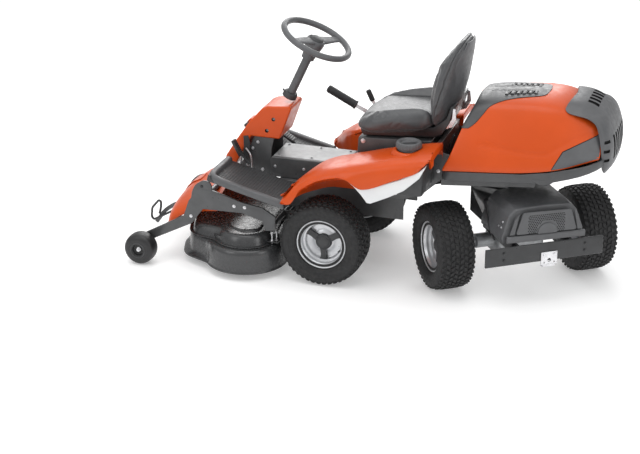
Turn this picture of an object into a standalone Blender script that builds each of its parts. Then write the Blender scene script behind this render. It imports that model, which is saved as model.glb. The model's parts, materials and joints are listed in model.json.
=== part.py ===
"""Articulated rider mower with a front cutting deck, as separate parts with their joint axes.

Metres, +Z up, +X forward, +Y to the operator's left. The rest pose has the rear bogie turned to
full left lock and the deck lowered.
"""
from math import cos, pi, radians, sin

import bmesh
import bpy
from mathutils import Vector

# Driving dimensions, measured from the front axle on the ground, x forward.
FRONT_AXLE_X = 0.1437         # puts the whole machine's box centre on the world origin
WHEEL_RADIUS = 0.206
TYRE_HALF_WIDTH = 0.087
RIM_HALF_WIDTH = 0.067
RIM_LIP_RADIUS = 0.119
BEAD_RADIUS = 0.100
SHAFT_RADIUS = 0.010
FRONT_HALF_TRACK = 0.323
REAR_HALF_TRACK = 0.358
WHEELBASE = 0.829
BOGIE_LOCK = radians(54)      # the bogie turns this far either side of straight ahead
COLUMN_LEAN = radians(25)
STEERING_WHEEL = (0.150, 0.0, 1.071)
STEERING_RADIUS = 0.164
GAUGE_WHEEL = (0.907, 0.406, 0.077)
DECK_PIVOT = (0.120, 0.0, 0.250)
BLADE_RADIUS = 0.158
SIDE_SPINDLE = (0.410, 0.280)
CENTRE_SPINDLE = (0.580, 0.0)
SEAT_PIVOT = (-0.130, 0.0, 0.690)
HOOD_PIVOT = (-1.270, 0.0, 0.625)
KEY_SWITCH = (-0.445, -0.300, 0.690)
GAP = 0.0004                  # clearance between parts that meet
SHEET = 0.004                 # moulded and pressed shell thickness


# ---------------------------------------------------------------- scene and shape helpers

def clear_scene():
    for item in list(bpy.data.objects):
        bpy.data.objects.remove(item, do_unlink=True)


def new_collection(name):
    collection = bpy.data.collections.new(name)
    bpy.context.scene.collection.children.link(collection)
    return collection


clear_scene()
PARTS = new_collection("rider_mower")
CUTTERS = new_collection("cutters")


def material(name, colour, roughness, metallic=0.0):
    finish = bpy.data.materials.new(name)
    finish.use_nodes = True
    shader = finish.node_tree.nodes["Principled BSDF"]
    shader.inputs["Base Color"].default_value = (*colour, 1.0)
    shader.inputs["Roughness"].default_value = roughness
    shader.inputs["Metallic"].default_value = metallic
    return finish


ORANGE = material("orange_plastic", (0.78, 0.16, 0.02), 0.35)
WHITE = material("white_plastic", (0.86, 0.86, 0.84), 0.4)
CHARCOAL = material("charcoal_plastic", (0.07, 0.07, 0.075), 0.55)
GREY = material("grey_plastic", (0.19, 0.19, 0.20), 0.5)
BLACK_PAINT = material("black_painted_steel", (0.03, 0.03, 0.032), 0.35, 0.3)
STEEL = material("zinc_steel", (0.72, 0.72, 0.74), 0.3, 1.0)
RIM_SILVER = material("silver_rim_paint", (0.66, 0.67, 0.69), 0.3, 0.7)
CAST = material("cast_aluminium", (0.45, 0.46, 0.47), 0.5, 0.8)
RUBBER = material("tyre_rubber", (0.02, 0.02, 0.02), 0.85)
VINYL = material("seat_vinyl", (0.12, 0.12, 0.125), 0.5)
GRIP = material("soft_grip", (0.03, 0.03, 0.032), 0.7)
EXHAUST = material("exhaust_steel", (0.22, 0.20, 0.18), 0.6, 0.6)


def pivot(name, location, turn=(0.0, 0.0, 0.0), parent=None):
    empty = bpy.data.objects.new(name, None)
    empty.location = location
    empty.rotation_euler = turn
    empty.parent = parent
    PARTS.objects.link(empty)
    return empty


def place(name, data, finish, parent, location=(0, 0, 0), turn=(0, 0, 0)):
    """Links one object under its parent, in the parent's own axes."""
    piece = bpy.data.objects.new(name, data)
    piece.location = location
    piece.rotation_euler = turn
    piece.parent = parent
    if finish:
        data.materials.append(finish)
    PARTS.objects.link(piece)
    return piece


def hang(piece, axis_empty):
    """Puts a piece that is placed in the machine's axes under an empty on its joint's axis."""
    piece.parent = axis_empty
    piece.matrix_parent_inverse = axis_empty.matrix_basis.inverted()
    return piece


def mesh_from(name, bm):
    bmesh.ops.recalc_face_normals(bm, faces=bm.faces[:])
    mesh = bpy.data.meshes.new(name)
    bm.to_mesh(mesh)
    bm.free()
    return mesh


def bevelled(piece, width, segments=2):
    edge = piece.modifiers.new("rounded_edges", "BEVEL")
    edge.width = width
    edge.segments = segments
    edge.limit_method = "ANGLE"
    edge.angle_limit = radians(40)
    return piece


def welded(piece):
    weld = piece.modifiers.new("weld", "WELD")
    weld.merge_threshold = 0.00005
    return piece


def box(name, low, high, finish, parent, bevel=0.0, segments=2):
    """A block between two corners given in the parent's axes."""
    bm = bmesh.new()
    bmesh.ops.create_cube(bm, size=1.0)
    size = [h - l for l, h in zip(low, high)]
    bmesh.ops.scale(bm, vec=size, verts=bm.verts)
    centre = [(l + h) / 2 for l, h in zip(low, high)]
    piece = place(name, mesh_from(name, bm), finish, parent, centre)
    return bevelled(piece, bevel, segments) if bevel else piece


def cylinder(name, radius, depth, centre, axis, finish, parent, sides=24):
    bm = bmesh.new()
    bmesh.ops.create_cone(bm, cap_ends=True, segments=sides, radius1=radius, radius2=radius,
                          depth=depth)
    turn = Vector(axis).to_track_quat("Z", "Y").to_euler()
    return place(name, mesh_from(name, bm), finish, parent, centre, turn)


PLANE_TURN = {"xy": (0, 0, 0), "xz": (pi / 2, 0, 0), "yz": (pi / 2, 0, pi / 2)}
PLANE_SHIFT = {"xy": (0, 0, 1), "xz": (0, 1, 0), "yz": (1, 0, 0)}


def outline(name, plane, points, low, high, finish, parent, bevel=0.0, segments=1):
    """A flat outline in the named plane, filled and thick from low to high across it."""
    curve = bpy.data.curves.new(name, "CURVE")
    curve.dimensions = "2D"
    curve.fill_mode = "BOTH"
    curve.extrude = (high - low) / 2
    spline = curve.splines.new("POLY")
    spline.points.add(len(points) - 1)
    for point, (a, b) in zip(spline.points, points):
        point.co = (a, b, 0, 1)
    spline.use_cyclic_u = True
    middle = [axis * (low + high) / 2 for axis in PLANE_SHIFT[plane]]
    piece = welded(place(name, curve, finish, parent, middle, PLANE_TURN[plane]))
    return bevelled(piece, bevel, segments) if bevel else piece


def solid_mesh(piece, finish=None):
    """Makes a curve piece a welded mesh in the given finish, so that it can be cut or joined."""
    bpy.context.view_layer.update()
    evaluated = piece.evaluated_get(bpy.context.evaluated_depsgraph_get())
    mesh = bpy.data.meshes.new_from_object(evaluated)
    bm = bmesh.new()
    bm.from_mesh(mesh)
    bmesh.ops.remove_doubles(bm, verts=bm.verts, dist=0.00005)
    bm.to_mesh(mesh)
    bm.free()
    mesh.materials.clear()
    name = piece.name
    parent, location, turn = piece.parent, piece.location.copy(), piece.rotation_euler.copy()
    bpy.data.objects.remove(piece, do_unlink=True)
    return place(name, mesh, finish, parent, location, turn)


def as_cutter(piece):
    PARTS.objects.unlink(piece)
    CUTTERS.objects.link(piece)
    piece.hide_render = True
    piece.display_type = "WIRE"
    return piece


def combine(piece, others, operation):
    for other in others:
        if other.type == "CURVE":
            other = solid_mesh(other)
        tool = piece.modifiers.new(operation.lower(), "BOOLEAN")
        tool.operation = operation
        tool.solver = "EXACT"
        tool.object = as_cutter(other)
    return piece


def lathe(name, profile, steps, finish, parent, location=(0, 0, 0), turn=(0, 0, 0)):
    """A turned piece about its own Z: (radius, height) points, outer side top to bottom first."""
    bm = bmesh.new()
    corners = [bm.verts.new((radius, 0, height)) for radius, height in profile]
    for first, second in zip(corners, corners[1:] + corners[:1]):
        bm.edges.new((first, second))
    mesh = bpy.data.meshes.new(name)
    bm.to_mesh(mesh)
    bm.free()
    piece = place(name, mesh, finish, parent, location, turn)
    screw = piece.modifiers.new("turn", "SCREW")
    screw.steps = steps
    screw.render_steps = steps
    screw.use_merge_vertices = True
    screw.merge_threshold = 0.00001
    screw.use_smooth_shade = True
    return piece


def tube(name, points, radius, finish, parent, closed=False, resolution=2):
    curve = bpy.data.curves.new(name, "CURVE")
    curve.dimensions = "3D"
    curve.bevel_depth = radius
    curve.bevel_resolution = resolution
    curve.use_fill_caps = not closed
    spline = curve.splines.new("POLY")
    spline.points.add(len(points) - 1)
    for point, where in zip(spline.points, points):
        point.co = (*where, 1)
    spline.use_cyclic_u = closed
    return place(name, curve, finish, parent)


def outward_mesh(name, bm, inside):
    """Turns an open skin's faces away from a point inside it."""
    bmesh.ops.recalc_face_normals(bm, faces=bm.faces[:])
    facing = sum(face.calc_area() * face.normal.dot(face.calc_center_median() - Vector(inside))
                 for face in bm.faces)
    if facing < 0:
        bmesh.ops.reverse_faces(bm, faces=bm.faces[:])
    mesh = bpy.data.meshes.new(name)
    bm.to_mesh(mesh)
    bm.free()
    return mesh


def loft(name, sections, finish, parent, inside, thickness=SHEET, mirror=False):
    """A skin through equal-length rows of points, thickened towards a point inside it."""
    bm = bmesh.new()
    rows = [[bm.verts.new(point) for point in row] for row in sections]
    for row, following in zip(rows, rows[1:]):
        for corner in range(len(row) - 1):
            bm.faces.new((row[corner], row[corner + 1], following[corner + 1], following[corner]))
    bmesh.ops.remove_doubles(bm, verts=bm.verts, dist=0.00005)
    piece = place(name, outward_mesh(name, bm, inside), finish, parent)
    if mirror:
        half = piece.modifiers.new("other_half", "MIRROR")
        half.use_axis = (False, True, False)
        half.merge_threshold = 0.0001
    skin = piece.modifiers.new("skin", "SOLIDIFY")
    skin.thickness = thickness
    skin.offset = -1.0
    skin.use_even_offset = True
    return piece


def arc(centre, radius, start, end, count):
    """Points on an arc from start to end, in degrees."""
    angles = [radians(start + (end - start) * step / (count - 1)) for step in range(count)]
    return [(centre[0] + radius * cos(a), centre[1] + radius * sin(a)) for a in angles]


def mirrored_across(points):
    return [(-y, z) for y, z in reversed(points)]


def mirrored(points):
    return [(x, -y) for x, y in reversed(points)]


def between(x, table):
    """Straight-line interpolation in a short list of (x, value) pairs with falling x."""
    for (x0, v0), (x1, v1) in zip(table, table[1:]):
        if x >= x1:
            return v0 + (v1 - v0) * (x - x0) / (x1 - x0)
    return table[-1][1]


# ---------------------------------------------------------------- wheels

def tyre(name, parent, location, turn):
    bead, over_lip, wall, shoulder = BEAD_RADIUS + 3 * GAP, RIM_LIP_RADIUS + 0.002, 0.160, 0.193
    side = [(bead, 0.0612), (over_lip, 0.0612), (over_lip + 0.001, 0.0735), (0.136, 0.083),
            (wall, TYRE_HALF_WIDTH), (shoulder, 0.078), (WHEEL_RADIUS, 0.052)]
    profile = side + [(radius, -height) for radius, height in reversed(side)]
    return lathe(name, profile, 32, RUBBER, parent, location, turn)


def rim(name, parent, location, turn):
    inner, hub, bore = 0.094, 0.034, SHAFT_RADIUS + GAP
    lip = RIM_HALF_WIDTH - 0.005
    profile = [(RIM_LIP_RADIUS, RIM_HALF_WIDTH), (RIM_LIP_RADIUS, lip), (BEAD_RADIUS, lip),
               (BEAD_RADIUS, -lip), (RIM_LIP_RADIUS, -lip), (RIM_LIP_RADIUS, -RIM_HALF_WIDTH),
               (inner, -RIM_HALF_WIDTH), (inner, 0.006), (hub, -0.004), (hub, -0.045),
               (bore, -0.045), (bore, 0.040), (hub, 0.040), (hub, 0.008), (inner, 0.018),
               (inner, RIM_HALF_WIDTH)]
    return lathe(name, profile, 28, RIM_SILVER, parent, location, turn)


def road_wheel(side_name, parent, location, outward):
    turn = (-pi / 2 * outward, 0, 0)
    tyre(f"{side_name}_tyre", parent, location, turn)
    rim(f"{side_name}_rim", parent, location, turn)


def gauge_wheel(name, parent, side):
    bore = 0.008 + GAP
    radius, half = GAUGE_WHEEL[2], 0.044
    profile = [(0.030, half), (0.066, half), (radius, 0.030), (radius, -0.030), (0.066, -half),
               (0.030, -half), (0.030, -0.030), (bore, -0.030), (bore, 0.030), (0.030, 0.030)]
    where = (GAUGE_WHEEL[0], side * GAUGE_WHEEL[1], GAUGE_WHEEL[2])
    return lathe(name, profile, 24, CHARCOAL, parent, where, (-pi / 2 * side, 0, 0))


# ---------------------------------------------------------------- chassis

def main_frame(machine):
    """Folded channel, open below, from the deck hinge to behind the front wheels."""
    front, rear = 0.300, -0.322
    section = [(-0.130, 0.270), (-0.130, 0.400), (0.130, 0.400), (0.130, 0.270), (0.124, 0.270),
               (0.124, 0.394), (-0.124, 0.394), (-0.124, 0.270)]
    outline("main_frame", "yz", section, rear, front, BLACK_PAINT, machine)


def front_axle(machine):
    """Cross beam under the channel with a stub shaft into each front hub."""
    beam = box("front_axle", (-0.030, -0.215, 0.176), (0.030, 0.215, 0.236), BLACK_PAINT, machine,
               0.004, 1)
    shaft = cylinder("axle_shaft", SHAFT_RADIUS, 2 * (FRONT_HALF_TRACK + 0.036),
                     (0, 0, WHEEL_RADIUS), (0, 1, 0), None, machine)
    bracket = box("axle_bracket", (-0.050, -0.120, 0.220), (0.050, 0.120, 0.393), None, machine)
    gap = box("bracket_gap", (-0.060, -0.110, 0.230), (0.060, 0.110, 0.410), None, machine)
    combine(bracket, [gap], "DIFFERENCE")
    combine(beam, [shaft, bracket], "UNION")


def tray_low(x):
    """Height of the engine tray's lower edge, which rises to the rear."""
    return between(x, [(-0.53, 0.552), (-1.02, 0.598), (-1.26, 0.676)])


def tray_high(x):
    return between(x, [(-0.53, 0.596), (-0.90, 0.626), (-1.02, 0.648), (-1.24, 0.710)])


def engine_frame(machine):
    """Raised rear frame with the engine bay's front bulkhead; it clears the turning bogie."""
    top = [(-0.540, tray_low(-0.540) - GAP), (-1.000, tray_low(-1.000) - GAP)]
    side = [(-0.060, 0.4004), (-0.330, 0.4004), (-0.400, 0.440), (-0.560, 0.510), (-0.990, 0.545),
            (-1.010, 0.570)] + top[::-1] + [(-0.440, 0.540), (-0.300, 0.470), (-0.060, 0.470)]
    frame = solid_mesh(outline("engine_frame", "xz", side, -0.110, 0.110, None, machine),
                       BLACK_PAINT)
    inside = [(-0.070, 0.380), (-0.070, 0.462), (-0.302, 0.462), (-0.442, 0.532), (-0.540, 0.542),
              (-0.990, tray_low(-0.990) - 0.010), (-0.990, 0.480), (-0.420, 0.380)]
    combine(frame, [outline("frame_inside", "xz", inside, -0.103, 0.103, None, machine)],
            "DIFFERENCE")
    wide = [(x, tray_low(x) - 0.002) for x in (-0.518, -0.960)] + [(-0.950, 0.540), (-0.518, 0.500)]
    platform = solid_mesh(outline("platform", "xz", wide, -0.210, 0.210, None, machine))
    under = [(x, tray_low(x) - 0.008) for x in (-0.524, -0.944)] + [(-0.944, 0.480), (-0.524, 0.440)]
    combine(platform, [outline("platform_inside", "xz", under, -0.204, 0.204, None, machine)],
            "DIFFERENCE")
    bulkhead = box("bulkhead", (-0.506, -0.185, 0.505), (-0.486, 0.185, 0.690), None, machine)
    collar = cylinder("pivot_collar", 0.085, 0.060, (-WHEELBASE, 0, 0.540), (0, 0, 1), None, machine)
    combine(frame, [platform, bulkhead, collar], "UNION")


def kingpin(machine):
    """Vertical pin that the bogie turns on, with a collar under the engine frame."""
    top = 0.5095
    profile = [(0.045, top), (0.045, 0.4905), (0.018, 0.4905), (0.018, 0.330), (0.0, 0.330),
               (0.0, top)]
    lathe("kingpin", profile, 24, STEEL, machine, (-WHEELBASE, 0, 0))


def console(machine):
    """Orange steering console on its folded steel stand, with the column tube."""
    stand = [(0.436, 0.5895), (0.335, 0.5895), (0.3495, 0.530), (0.3495, 0.4), (0.515, 0.4),
             (0.490, 0.470)]
    plate = solid_mesh(outline("console_frame", "xz", stand, -0.086, 0.086, None, machine), GREY)
    hollow = box("stand_hollow", (0.30, -0.080, 0.38), (0.512, 0.080, 0.582), None, machine)
    combine(plate, [hollow], "DIFFERENCE")
    shell = [(0.450, 0.590), (0.535, 0.430), (0.585, 0.452), (0.580, 0.478), (0.462, 0.657),
             (0.395, 0.733), (0.370, 0.745), (0.260, 0.755), (0.248, 0.744), (0.305, 0.590)]
    tower = outline("console_tower", "xz", shell, -0.096, 0.096, None, machine, 0.014, 2)
    tower = solid_mesh(tower, ORANGE)
    foot = Vector((sin(COLUMN_LEAN), 0, -cos(COLUMN_LEAN))) * 0.40 + Vector(STEERING_WHEEL)
    socket = cylinder("column_socket", 0.0215, 0.150, foot + Vector((-0.02, 0, 0.043)),
                      (-sin(COLUMN_LEAN), 0, cos(COLUMN_LEAN)), None, machine)
    combine(tower, [socket], "DIFFERENCE")


def steering(machine):
    """Column tube on the chassis, and the wheel with its boss and spokes on the column's axis."""
    lean = (0, -COLUMN_LEAN, 0)
    axis = pivot("steering_axis", STEERING_WHEEL, lean, machine)
    tube_top, tube_foot = -0.105, -0.328
    column = [(0.021, tube_top), (0.021, tube_foot), (0.0, tube_foot), (0.0, tube_top)]
    lathe("column_tube", column, 20, CHARCOAL, axis)
    rim_turns = 40
    ring = [(STEERING_RADIUS * cos(2 * pi * k / rim_turns),
             STEERING_RADIUS * sin(2 * pi * k / rim_turns), 0) for k in range(rim_turns)]
    wheel = solid_mesh(tube("steering_wheel", ring, 0.0145, None, axis, closed=True), CHARCOAL)
    boss_profile = [(0.040, 0.004), (0.046, -0.010), (0.040, -0.060), (0.030, -0.1045),
                    (0.0, -0.1045), (0.0, 0.004)]
    boss = lathe("wheel_boss", boss_profile, 24, None, axis)
    spokes = []
    for index, turn in enumerate((radians(-117), radians(63))):
        spoke = box(f"wheel_spoke_{index}", (0.030, -0.024, -0.012), (0.158, 0.024, -0.001), None,
                    axis)
        spoke.location = (0.094 * cos(turn), 0.094 * sin(turn), -0.0065)
        spoke.rotation_euler = (0, 0, turn)
        spokes.append(spoke)
    combine(wheel, [boss] + spokes, "UNION")


def floor(machine):
    """Tunnel cover over the frame and a sloped footplate on each side."""
    tunnel = [(0.349, 0.4004), (0.349, 0.505), (-0.040, 0.505), (-0.054, 0.4704), (-0.054, 0.4004)]
    cover = solid_mesh(outline("tunnel_cover", "xz", tunnel, -0.104, 0.104, None, machine), GREY)
    inner = box("tunnel_hollow", (-0.10, -0.098, 0.39), (0.343, 0.098, 0.499), None, machine)
    combine(cover, [inner], "DIFFERENCE")
    for side, name in ((1, "footplate_left"), (-1, "footplate_right")):
        near, far = sorted((side * 0.1304, side * 0.405))
        plate = [(0.178, 0.366), (0.548, 0.456), (0.560, 0.462), (0.552, 0.492), (0.538, 0.486),
                 (0.536, 0.470), (0.178, 0.382)]
        tread = solid_mesh(outline(name, "xz", plate, near, far, None, machine), CHARCOAL)
        edge_low, edge_high = sorted((side * 0.385, side * 0.405))
        edge = outline("plate_edge", "xz", [(0.178, 0.366), (0.556, 0.458), (0.552, 0.492),
                                            (0.520, 0.486), (0.178, 0.402)],
                       edge_low, edge_high, None, machine)
        tab_low, tab_high = sorted((side * 0.1050, side * 0.1310))
        tab = outline("plate_tab", "xz", [(0.360, 0.4115), (0.548, 0.456), (0.536, 0.470),
                                          (0.360, 0.4255)], tab_low, tab_high, None, machine)
        combine(tread, [edge, tab], "UNION")


# ---------------------------------------------------------------- fenders and side panels

FENDER_TOP = [(0.185, 0.428), (0.125, 0.482), (0.050, 0.540), (-0.030, 0.580), (-0.120, 0.610),
              (-0.300, 0.662), (-0.420, 0.690), (-0.515, 0.700)]
FENDER_LOW = [(0.185, 0.408), (0.135, 0.410), (0.090, 0.480), (0.000, 0.536), (-0.120, 0.562),
              (-0.206, 0.524), (-0.380, 0.592), (-0.515, 0.662)]
FENDER_INNER = [(0.185, 0.385), (0.060, 0.235), (0.000, 0.195), (-0.515, 0.195)]
FENDER_STATIONS = (0.185, 0.160, 0.135, 0.090, 0.045, 0.0, -0.06, -0.12, -0.163, -0.206, -0.29,
                   -0.38, -0.45, -0.485, -0.515)


def fender_section(x, side):
    top, low, inner = (between(x, table) for table in (FENDER_TOP, FENDER_LOW, FENDER_INNER))
    outer = 0.436
    tuck = 0.012 * max(0.0, (-0.42 - x) / 0.095)
    reach = outer - inner
    wall_foot = min(0.425 - 0.08 * max(0.0, x), low)
    points = [(inner, wall_foot), (inner, top - 0.030), (inner + 0.008, top - 0.006),
              (inner + 0.25 * reach, top + 0.002), (inner + 0.62 * reach, top),
              (outer - 0.030, top - 0.012), (outer - 0.008, top - 0.040)]
    drop = points[-1][1]
    points[1:] = [(y, max(z, low + 0.002 * (7 - k))) for k, (y, z) in enumerate(points[1:], 1)]
    points.append((outer - tuck, min(low, drop - 0.002)))
    return [(x, side * y, z) for y, z in points]


def fender(name, side, machine):
    sections = [fender_section(x, side) for x in FENDER_STATIONS]
    return loft(name, sections, ORANGE, machine, (-0.15, side * 0.30, 0.30))


def side_panel(name, side, machine):
    """White lower panel behind the fender's outer edge."""
    points = [(-0.125, 0.558), (-0.206, 0.520), (-0.380, 0.588), (-0.508, 0.656), (-0.470, 0.602),
              (-0.400, 0.536), (-0.330, 0.496), (-0.245, 0.455), (-0.222, 0.462)]
    low, high = sorted((side * 0.404, side * 0.424))
    outline(name, "xz", points, low, high, WHITE, machine, 0.003)


def fenders(machine):
    left = fender("fender_left", 1, machine)
    right = fender("fender_right", -1, machine)
    side_panel("side_panel_left", 1, machine)
    side_panel("side_panel_right", -1, machine)
    cap_hole = cylinder("cap_hole", 0.050, 0.20, (-0.385, 0.290, 0.690), (0, 0, 1), None, machine)
    combine(left, [cap_hole], "DIFFERENCE")
    lift_slot = box("lift_slot", (-0.235, -0.259, 0.55), (-0.020, -0.241, 0.75), None, machine)
    height_slot = box("height_slot", (-0.175, -0.309, 0.55), (-0.020, -0.291, 0.75), None, machine)
    throttle_slot = box("throttle_slot", (-0.395, -0.345, 0.55), (-0.295, -0.335, 0.75), None,
                        machine)
    key_hole = cylinder("key_hole", 0.0095, 0.20, KEY_SWITCH, (0, 0, 1), None, machine, 16)
    combine(right, [lift_slot, height_slot, throttle_slot, key_hole], "DIFFERENCE")


def fuel_system(machine):
    tank = box("fuel_tank", (-0.480, 0.205, 0.500), (-0.300, 0.398, 0.632), CHARCOAL, machine,
               0.018)
    neck = cylinder("filler_neck", 0.038, 0.060, (-0.385, 0.290, 0.655), (0, 0, 1), None, machine)
    combine(tank, [neck], "UNION")
    profile = [(0.056, 0.036), (0.061, 0.030), (0.061, 0.008), (0.048, 0.008), (0.048, -0.006),
               (0.0, -0.006), (0.0, 0.036)]
    lathe("fuel_cap", profile, 24, GREY, machine, (-0.385, 0.290, 0.6915))


# ---------------------------------------------------------------- seat

def rounded_top(piece, half, finish, machine):
    """Trims a seat back to its front view: waisted sides and a round top."""
    piece = solid_mesh(piece, finish)
    side = [(half * 0.94, 0.75), (half, 0.88), (half, 0.99), (half * 0.93, 1.065),
            (half * 0.80, 1.115), (half * 0.60, 1.145), (half * 0.30, 1.157)]
    view = outline("back_view", "yz", side + mirrored_across(side), -0.75, -0.35, None, machine)
    return combine(piece, [view], "INTERSECT")


def seat(machine):
    """Fixed pedestal, then the seat that tips forward on its front hinge."""
    legs = [(-0.120, 0.4704), (-0.300, 0.4704), (-0.440, 0.5404), (-0.470, 0.560), (-0.455, 0.690),
            (-0.105, 0.672), (-0.100, 0.560)]
    outline("seat_pedestal", "xz", legs, -0.160, 0.160, BLACK_PAINT, machine, 0.006)
    axis = pivot("seat_hinge", SEAT_PIVOT, parent=machine)
    pan = [(-0.120, 0.690), (-0.114, 0.712), (-0.460, 0.752), (-0.520, 0.800), (-0.540, 0.860),
           (-0.552, 0.858), (-0.535, 0.780), (-0.500, 0.722), (-0.470, 0.706), (-0.130, 0.680)]
    shell = outline("seat_pan", "xz", pan, -0.150, 0.150, BLACK_PAINT, machine)
    hang(shell, axis)
    cushion = [(-0.080, 0.742), (-0.088, 0.722), (-0.112, 0.7135), (-0.440, 0.7505),
               (-0.466, 0.790), (-0.466, 0.828), (-0.420, 0.822), (-0.200, 0.802), (-0.110, 0.775)]
    hang(outline("seat_cushion", "xz", cushion, -0.215, 0.215, VINYL, machine, 0.014, 2), axis)
    back = [(-0.470, 0.800), (-0.468, 0.900), (-0.484, 0.980), (-0.528, 1.120), (-0.548, 1.158),
            (-0.568, 1.158), (-0.578, 1.130), (-0.545, 0.960), (-0.533, 0.870), (-0.512, 0.800)]
    cushion_back = outline("seat_back", "xz", back, -0.206, 0.206, None, machine, 0.016, 2)
    hang(rounded_top(cushion_back, 0.206, VINYL, machine), axis)
    shell_back = [(-0.5335, 0.8600), (-0.5455, 0.9595), (-0.5790, 1.130), (-0.5800, 1.150),
                  (-0.592, 1.150), (-0.600, 1.120), (-0.574, 0.950), (-0.5525, 0.8600)]
    back_panel = outline("seat_back_shell", "xz", shell_back, -0.185, 0.185, None, machine)
    hang(rounded_top(back_panel, 0.185, GREY, machine), axis)


# ---------------------------------------------------------------- engine bay

def plan_corner(x_front, x_rear, half, round_front, round_rear):
    """Rounded plan outline of the tray and hood, front corner first."""
    left = (arc((x_front - round_front, half - round_front), round_front, 0, 90, 5)
            + arc((x_rear + round_rear, half - round_rear), round_rear, 90, 180, 6))
    return left + mirrored(left)


def engine_tray(machine):
    """Moulded tray with a raised rim that closes the hood's open bottom."""
    stations = (-0.53, -0.90, -1.02, -1.14, -1.26)
    low = [(x, tray_low(x)) for x in stations]
    high = [(x, tray_high(x)) for x in reversed(stations)]
    tray = solid_mesh(outline("engine_tray", "xz", low + high, -0.30, 0.30, None, machine), GREY)
    plan = plan_corner(-0.532, -1.255, 0.292, 0.050, 0.140)
    trim = outline("tray_plan", "xy", plan, 0.4, 0.9, None, machine)
    floor_low = [(x, tray_low(x) + 0.008) for x in stations]
    floor_high = [(x, 0.95) for x in reversed(stations)]
    well = solid_mesh(outline("tray_well", "xz", floor_low + floor_high, -0.28, 0.28, None, machine))
    inner = plan_corner(-0.545, -1.243, 0.280, 0.040, 0.130)
    combine(well, [outline("well_plan", "xy", inner, 0.4, 0.96, None, machine)], "INTERSECT")
    combine(tray, [trim], "INTERSECT")
    combine(tray, [well], "DIFFERENCE")


def engine(machine):
    """Vertical-shaft engine, its silencer and the battery, standing in the tray."""
    block = box("engine_block", (-1.090, -0.130, 0.646), (-0.830, 0.130, 0.780), CAST, machine,
                0.010, 1)
    foot_line = [(x, tray_low(x) + 0.0084) for x in (-0.860, -1.020, -1.060)]
    foot = outline("engine_foot", "xz", foot_line + [(-1.060, 0.660), (-0.860, 0.660)],
                   -0.110, 0.110, None, machine)
    fan_profile = [(0.105, 0.840), (0.115, 0.825), (0.115, 0.770), (0.0, 0.770), (0.0, 0.840)]
    fan = lathe("fan_housing", fan_profile, 28, None, machine, (-0.960, 0, 0))
    heads = [box(f"cylinder_head_{side}", (-1.060, side * 0.165 - 0.045, 0.665),
                 (-0.900, side * 0.165 + 0.045, 0.755), None, machine) for side in (-1, 1)]
    combine(block, [foot, fan] + heads, "UNION")
    box("battery", (-0.740, -0.090, 0.5800), (-0.640, 0.090, 0.730), CHARCOAL, machine, 0.004, 1)
    muffler_profile = [(0.042, 0.110), (0.048, 0.100), (0.048, -0.100), (0.042, -0.110),
                       (0.0, -0.110), (0.0, 0.110)]
    lathe("muffler", muffler_profile, 20, EXHAUST, machine, (-1.150, 0, 0.725), (pi / 2, 0, 0))


HOOD_STATIONS = (-0.660, -0.720, -0.800, -0.900, -1.000, -1.080, -1.150, -1.205)
HOOD_CREST = [(-0.660, 0.905), (-0.800, 0.922), (-0.950, 0.938), (-1.080, 0.930), (-1.150, 0.908),
              (-1.205, 0.868)]
HOOD_SHOULDER = [(-0.660, 0.165), (-1.000, 0.180), (-1.205, 0.150)]
HOOD_BASE_HALF = 0.284


def hood_section(x, lean):
    """Half section: base edge, side, shoulder, crown; lean moves the lower points forward."""
    crest = between(x, HOOD_CREST)
    shoulder = between(x, HOOD_SHOULDER)
    base = HOOD_BASE_HALF - 0.055 * max(0.0, (-1.08 - x) / 0.125)
    foot_x = x + 0.118 * lean
    foot = tray_high(foot_x) + 0.003
    flank = crest - 0.120
    points = [(foot_x, base, foot),
              (foot_x - 0.030 * lean, base - 0.012, foot + 0.35 * (flank - foot)),
              (x + 0.050 * lean, shoulder + 0.052, flank),
              (x + 0.014 * lean, shoulder + 0.018, crest - 0.052), (x, shoulder, crest - 0.022),
              (x, shoulder * 0.5, crest - 0.006), (x, 0.0, crest)]
    return points


def hood(machine):
    """Tipping hood: orange shell, grey top insert and rear grille on the rear hinge."""
    axis = pivot("hood_hinge", HOOD_PIVOT, parent=machine)
    stations = [(x, max(0.0, 1 - (HOOD_STATIONS[0] - x) / 0.42)) for x in HOOD_STATIONS]
    sections = [hood_section(x, lean) for x, lean in stations]
    front = [(x, 0.0, z) for x, _, z in sections[0]]
    shell = loft("hood_shell", [front] + sections, ORANGE, machine, (-0.90, 0.0, 0.60), mirror=True)
    hang(shell, axis)
    reach = (-0.655, -0.800, -0.950)
    insert = [(x, between(x, HOOD_CREST) + 0.0015) for x in reach]
    insert += [(x, between(x, HOOD_CREST) + 0.0090) for x in reversed(reach)]
    hang(outline("hood_insert", "xz", insert, -0.118, 0.118, GREY, machine), axis)
    side = [(-1.2110, 0.870), (-1.150, 0.915), (-1.130, 0.935), (-1.180, 0.925), (-1.225, 0.900),
            (-1.266, 0.830), (-1.288, 0.730), (-1.282, 0.655), (-1.262, 0.625), (-1.2575, 0.640),
            (-1.2575, 0.718), (-1.212, 0.726)]
    grille = solid_mesh(outline("rear_grille", "xz", side, -0.200, 0.200, None, machine), CHARCOAL)
    plan = outline("grille_plan", "xy", plan_corner(-1.08, -1.290, 0.196, 0.02, 0.11), 0.6, 1.0,
                   None, machine)
    hang(combine(grille, [plan], "INTERSECT"), axis)


def hood_strap(machine):
    """Rubber strap that holds the hood shut at its front."""
    outline("hood_strap", "xz", [(-0.508, 0.604), (-0.520, 0.604), (-0.546, 0.700),
                                 (-0.534, 0.700)], 0.060, 0.085, GRIP, machine)


# ---------------------------------------------------------------- bogie

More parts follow.
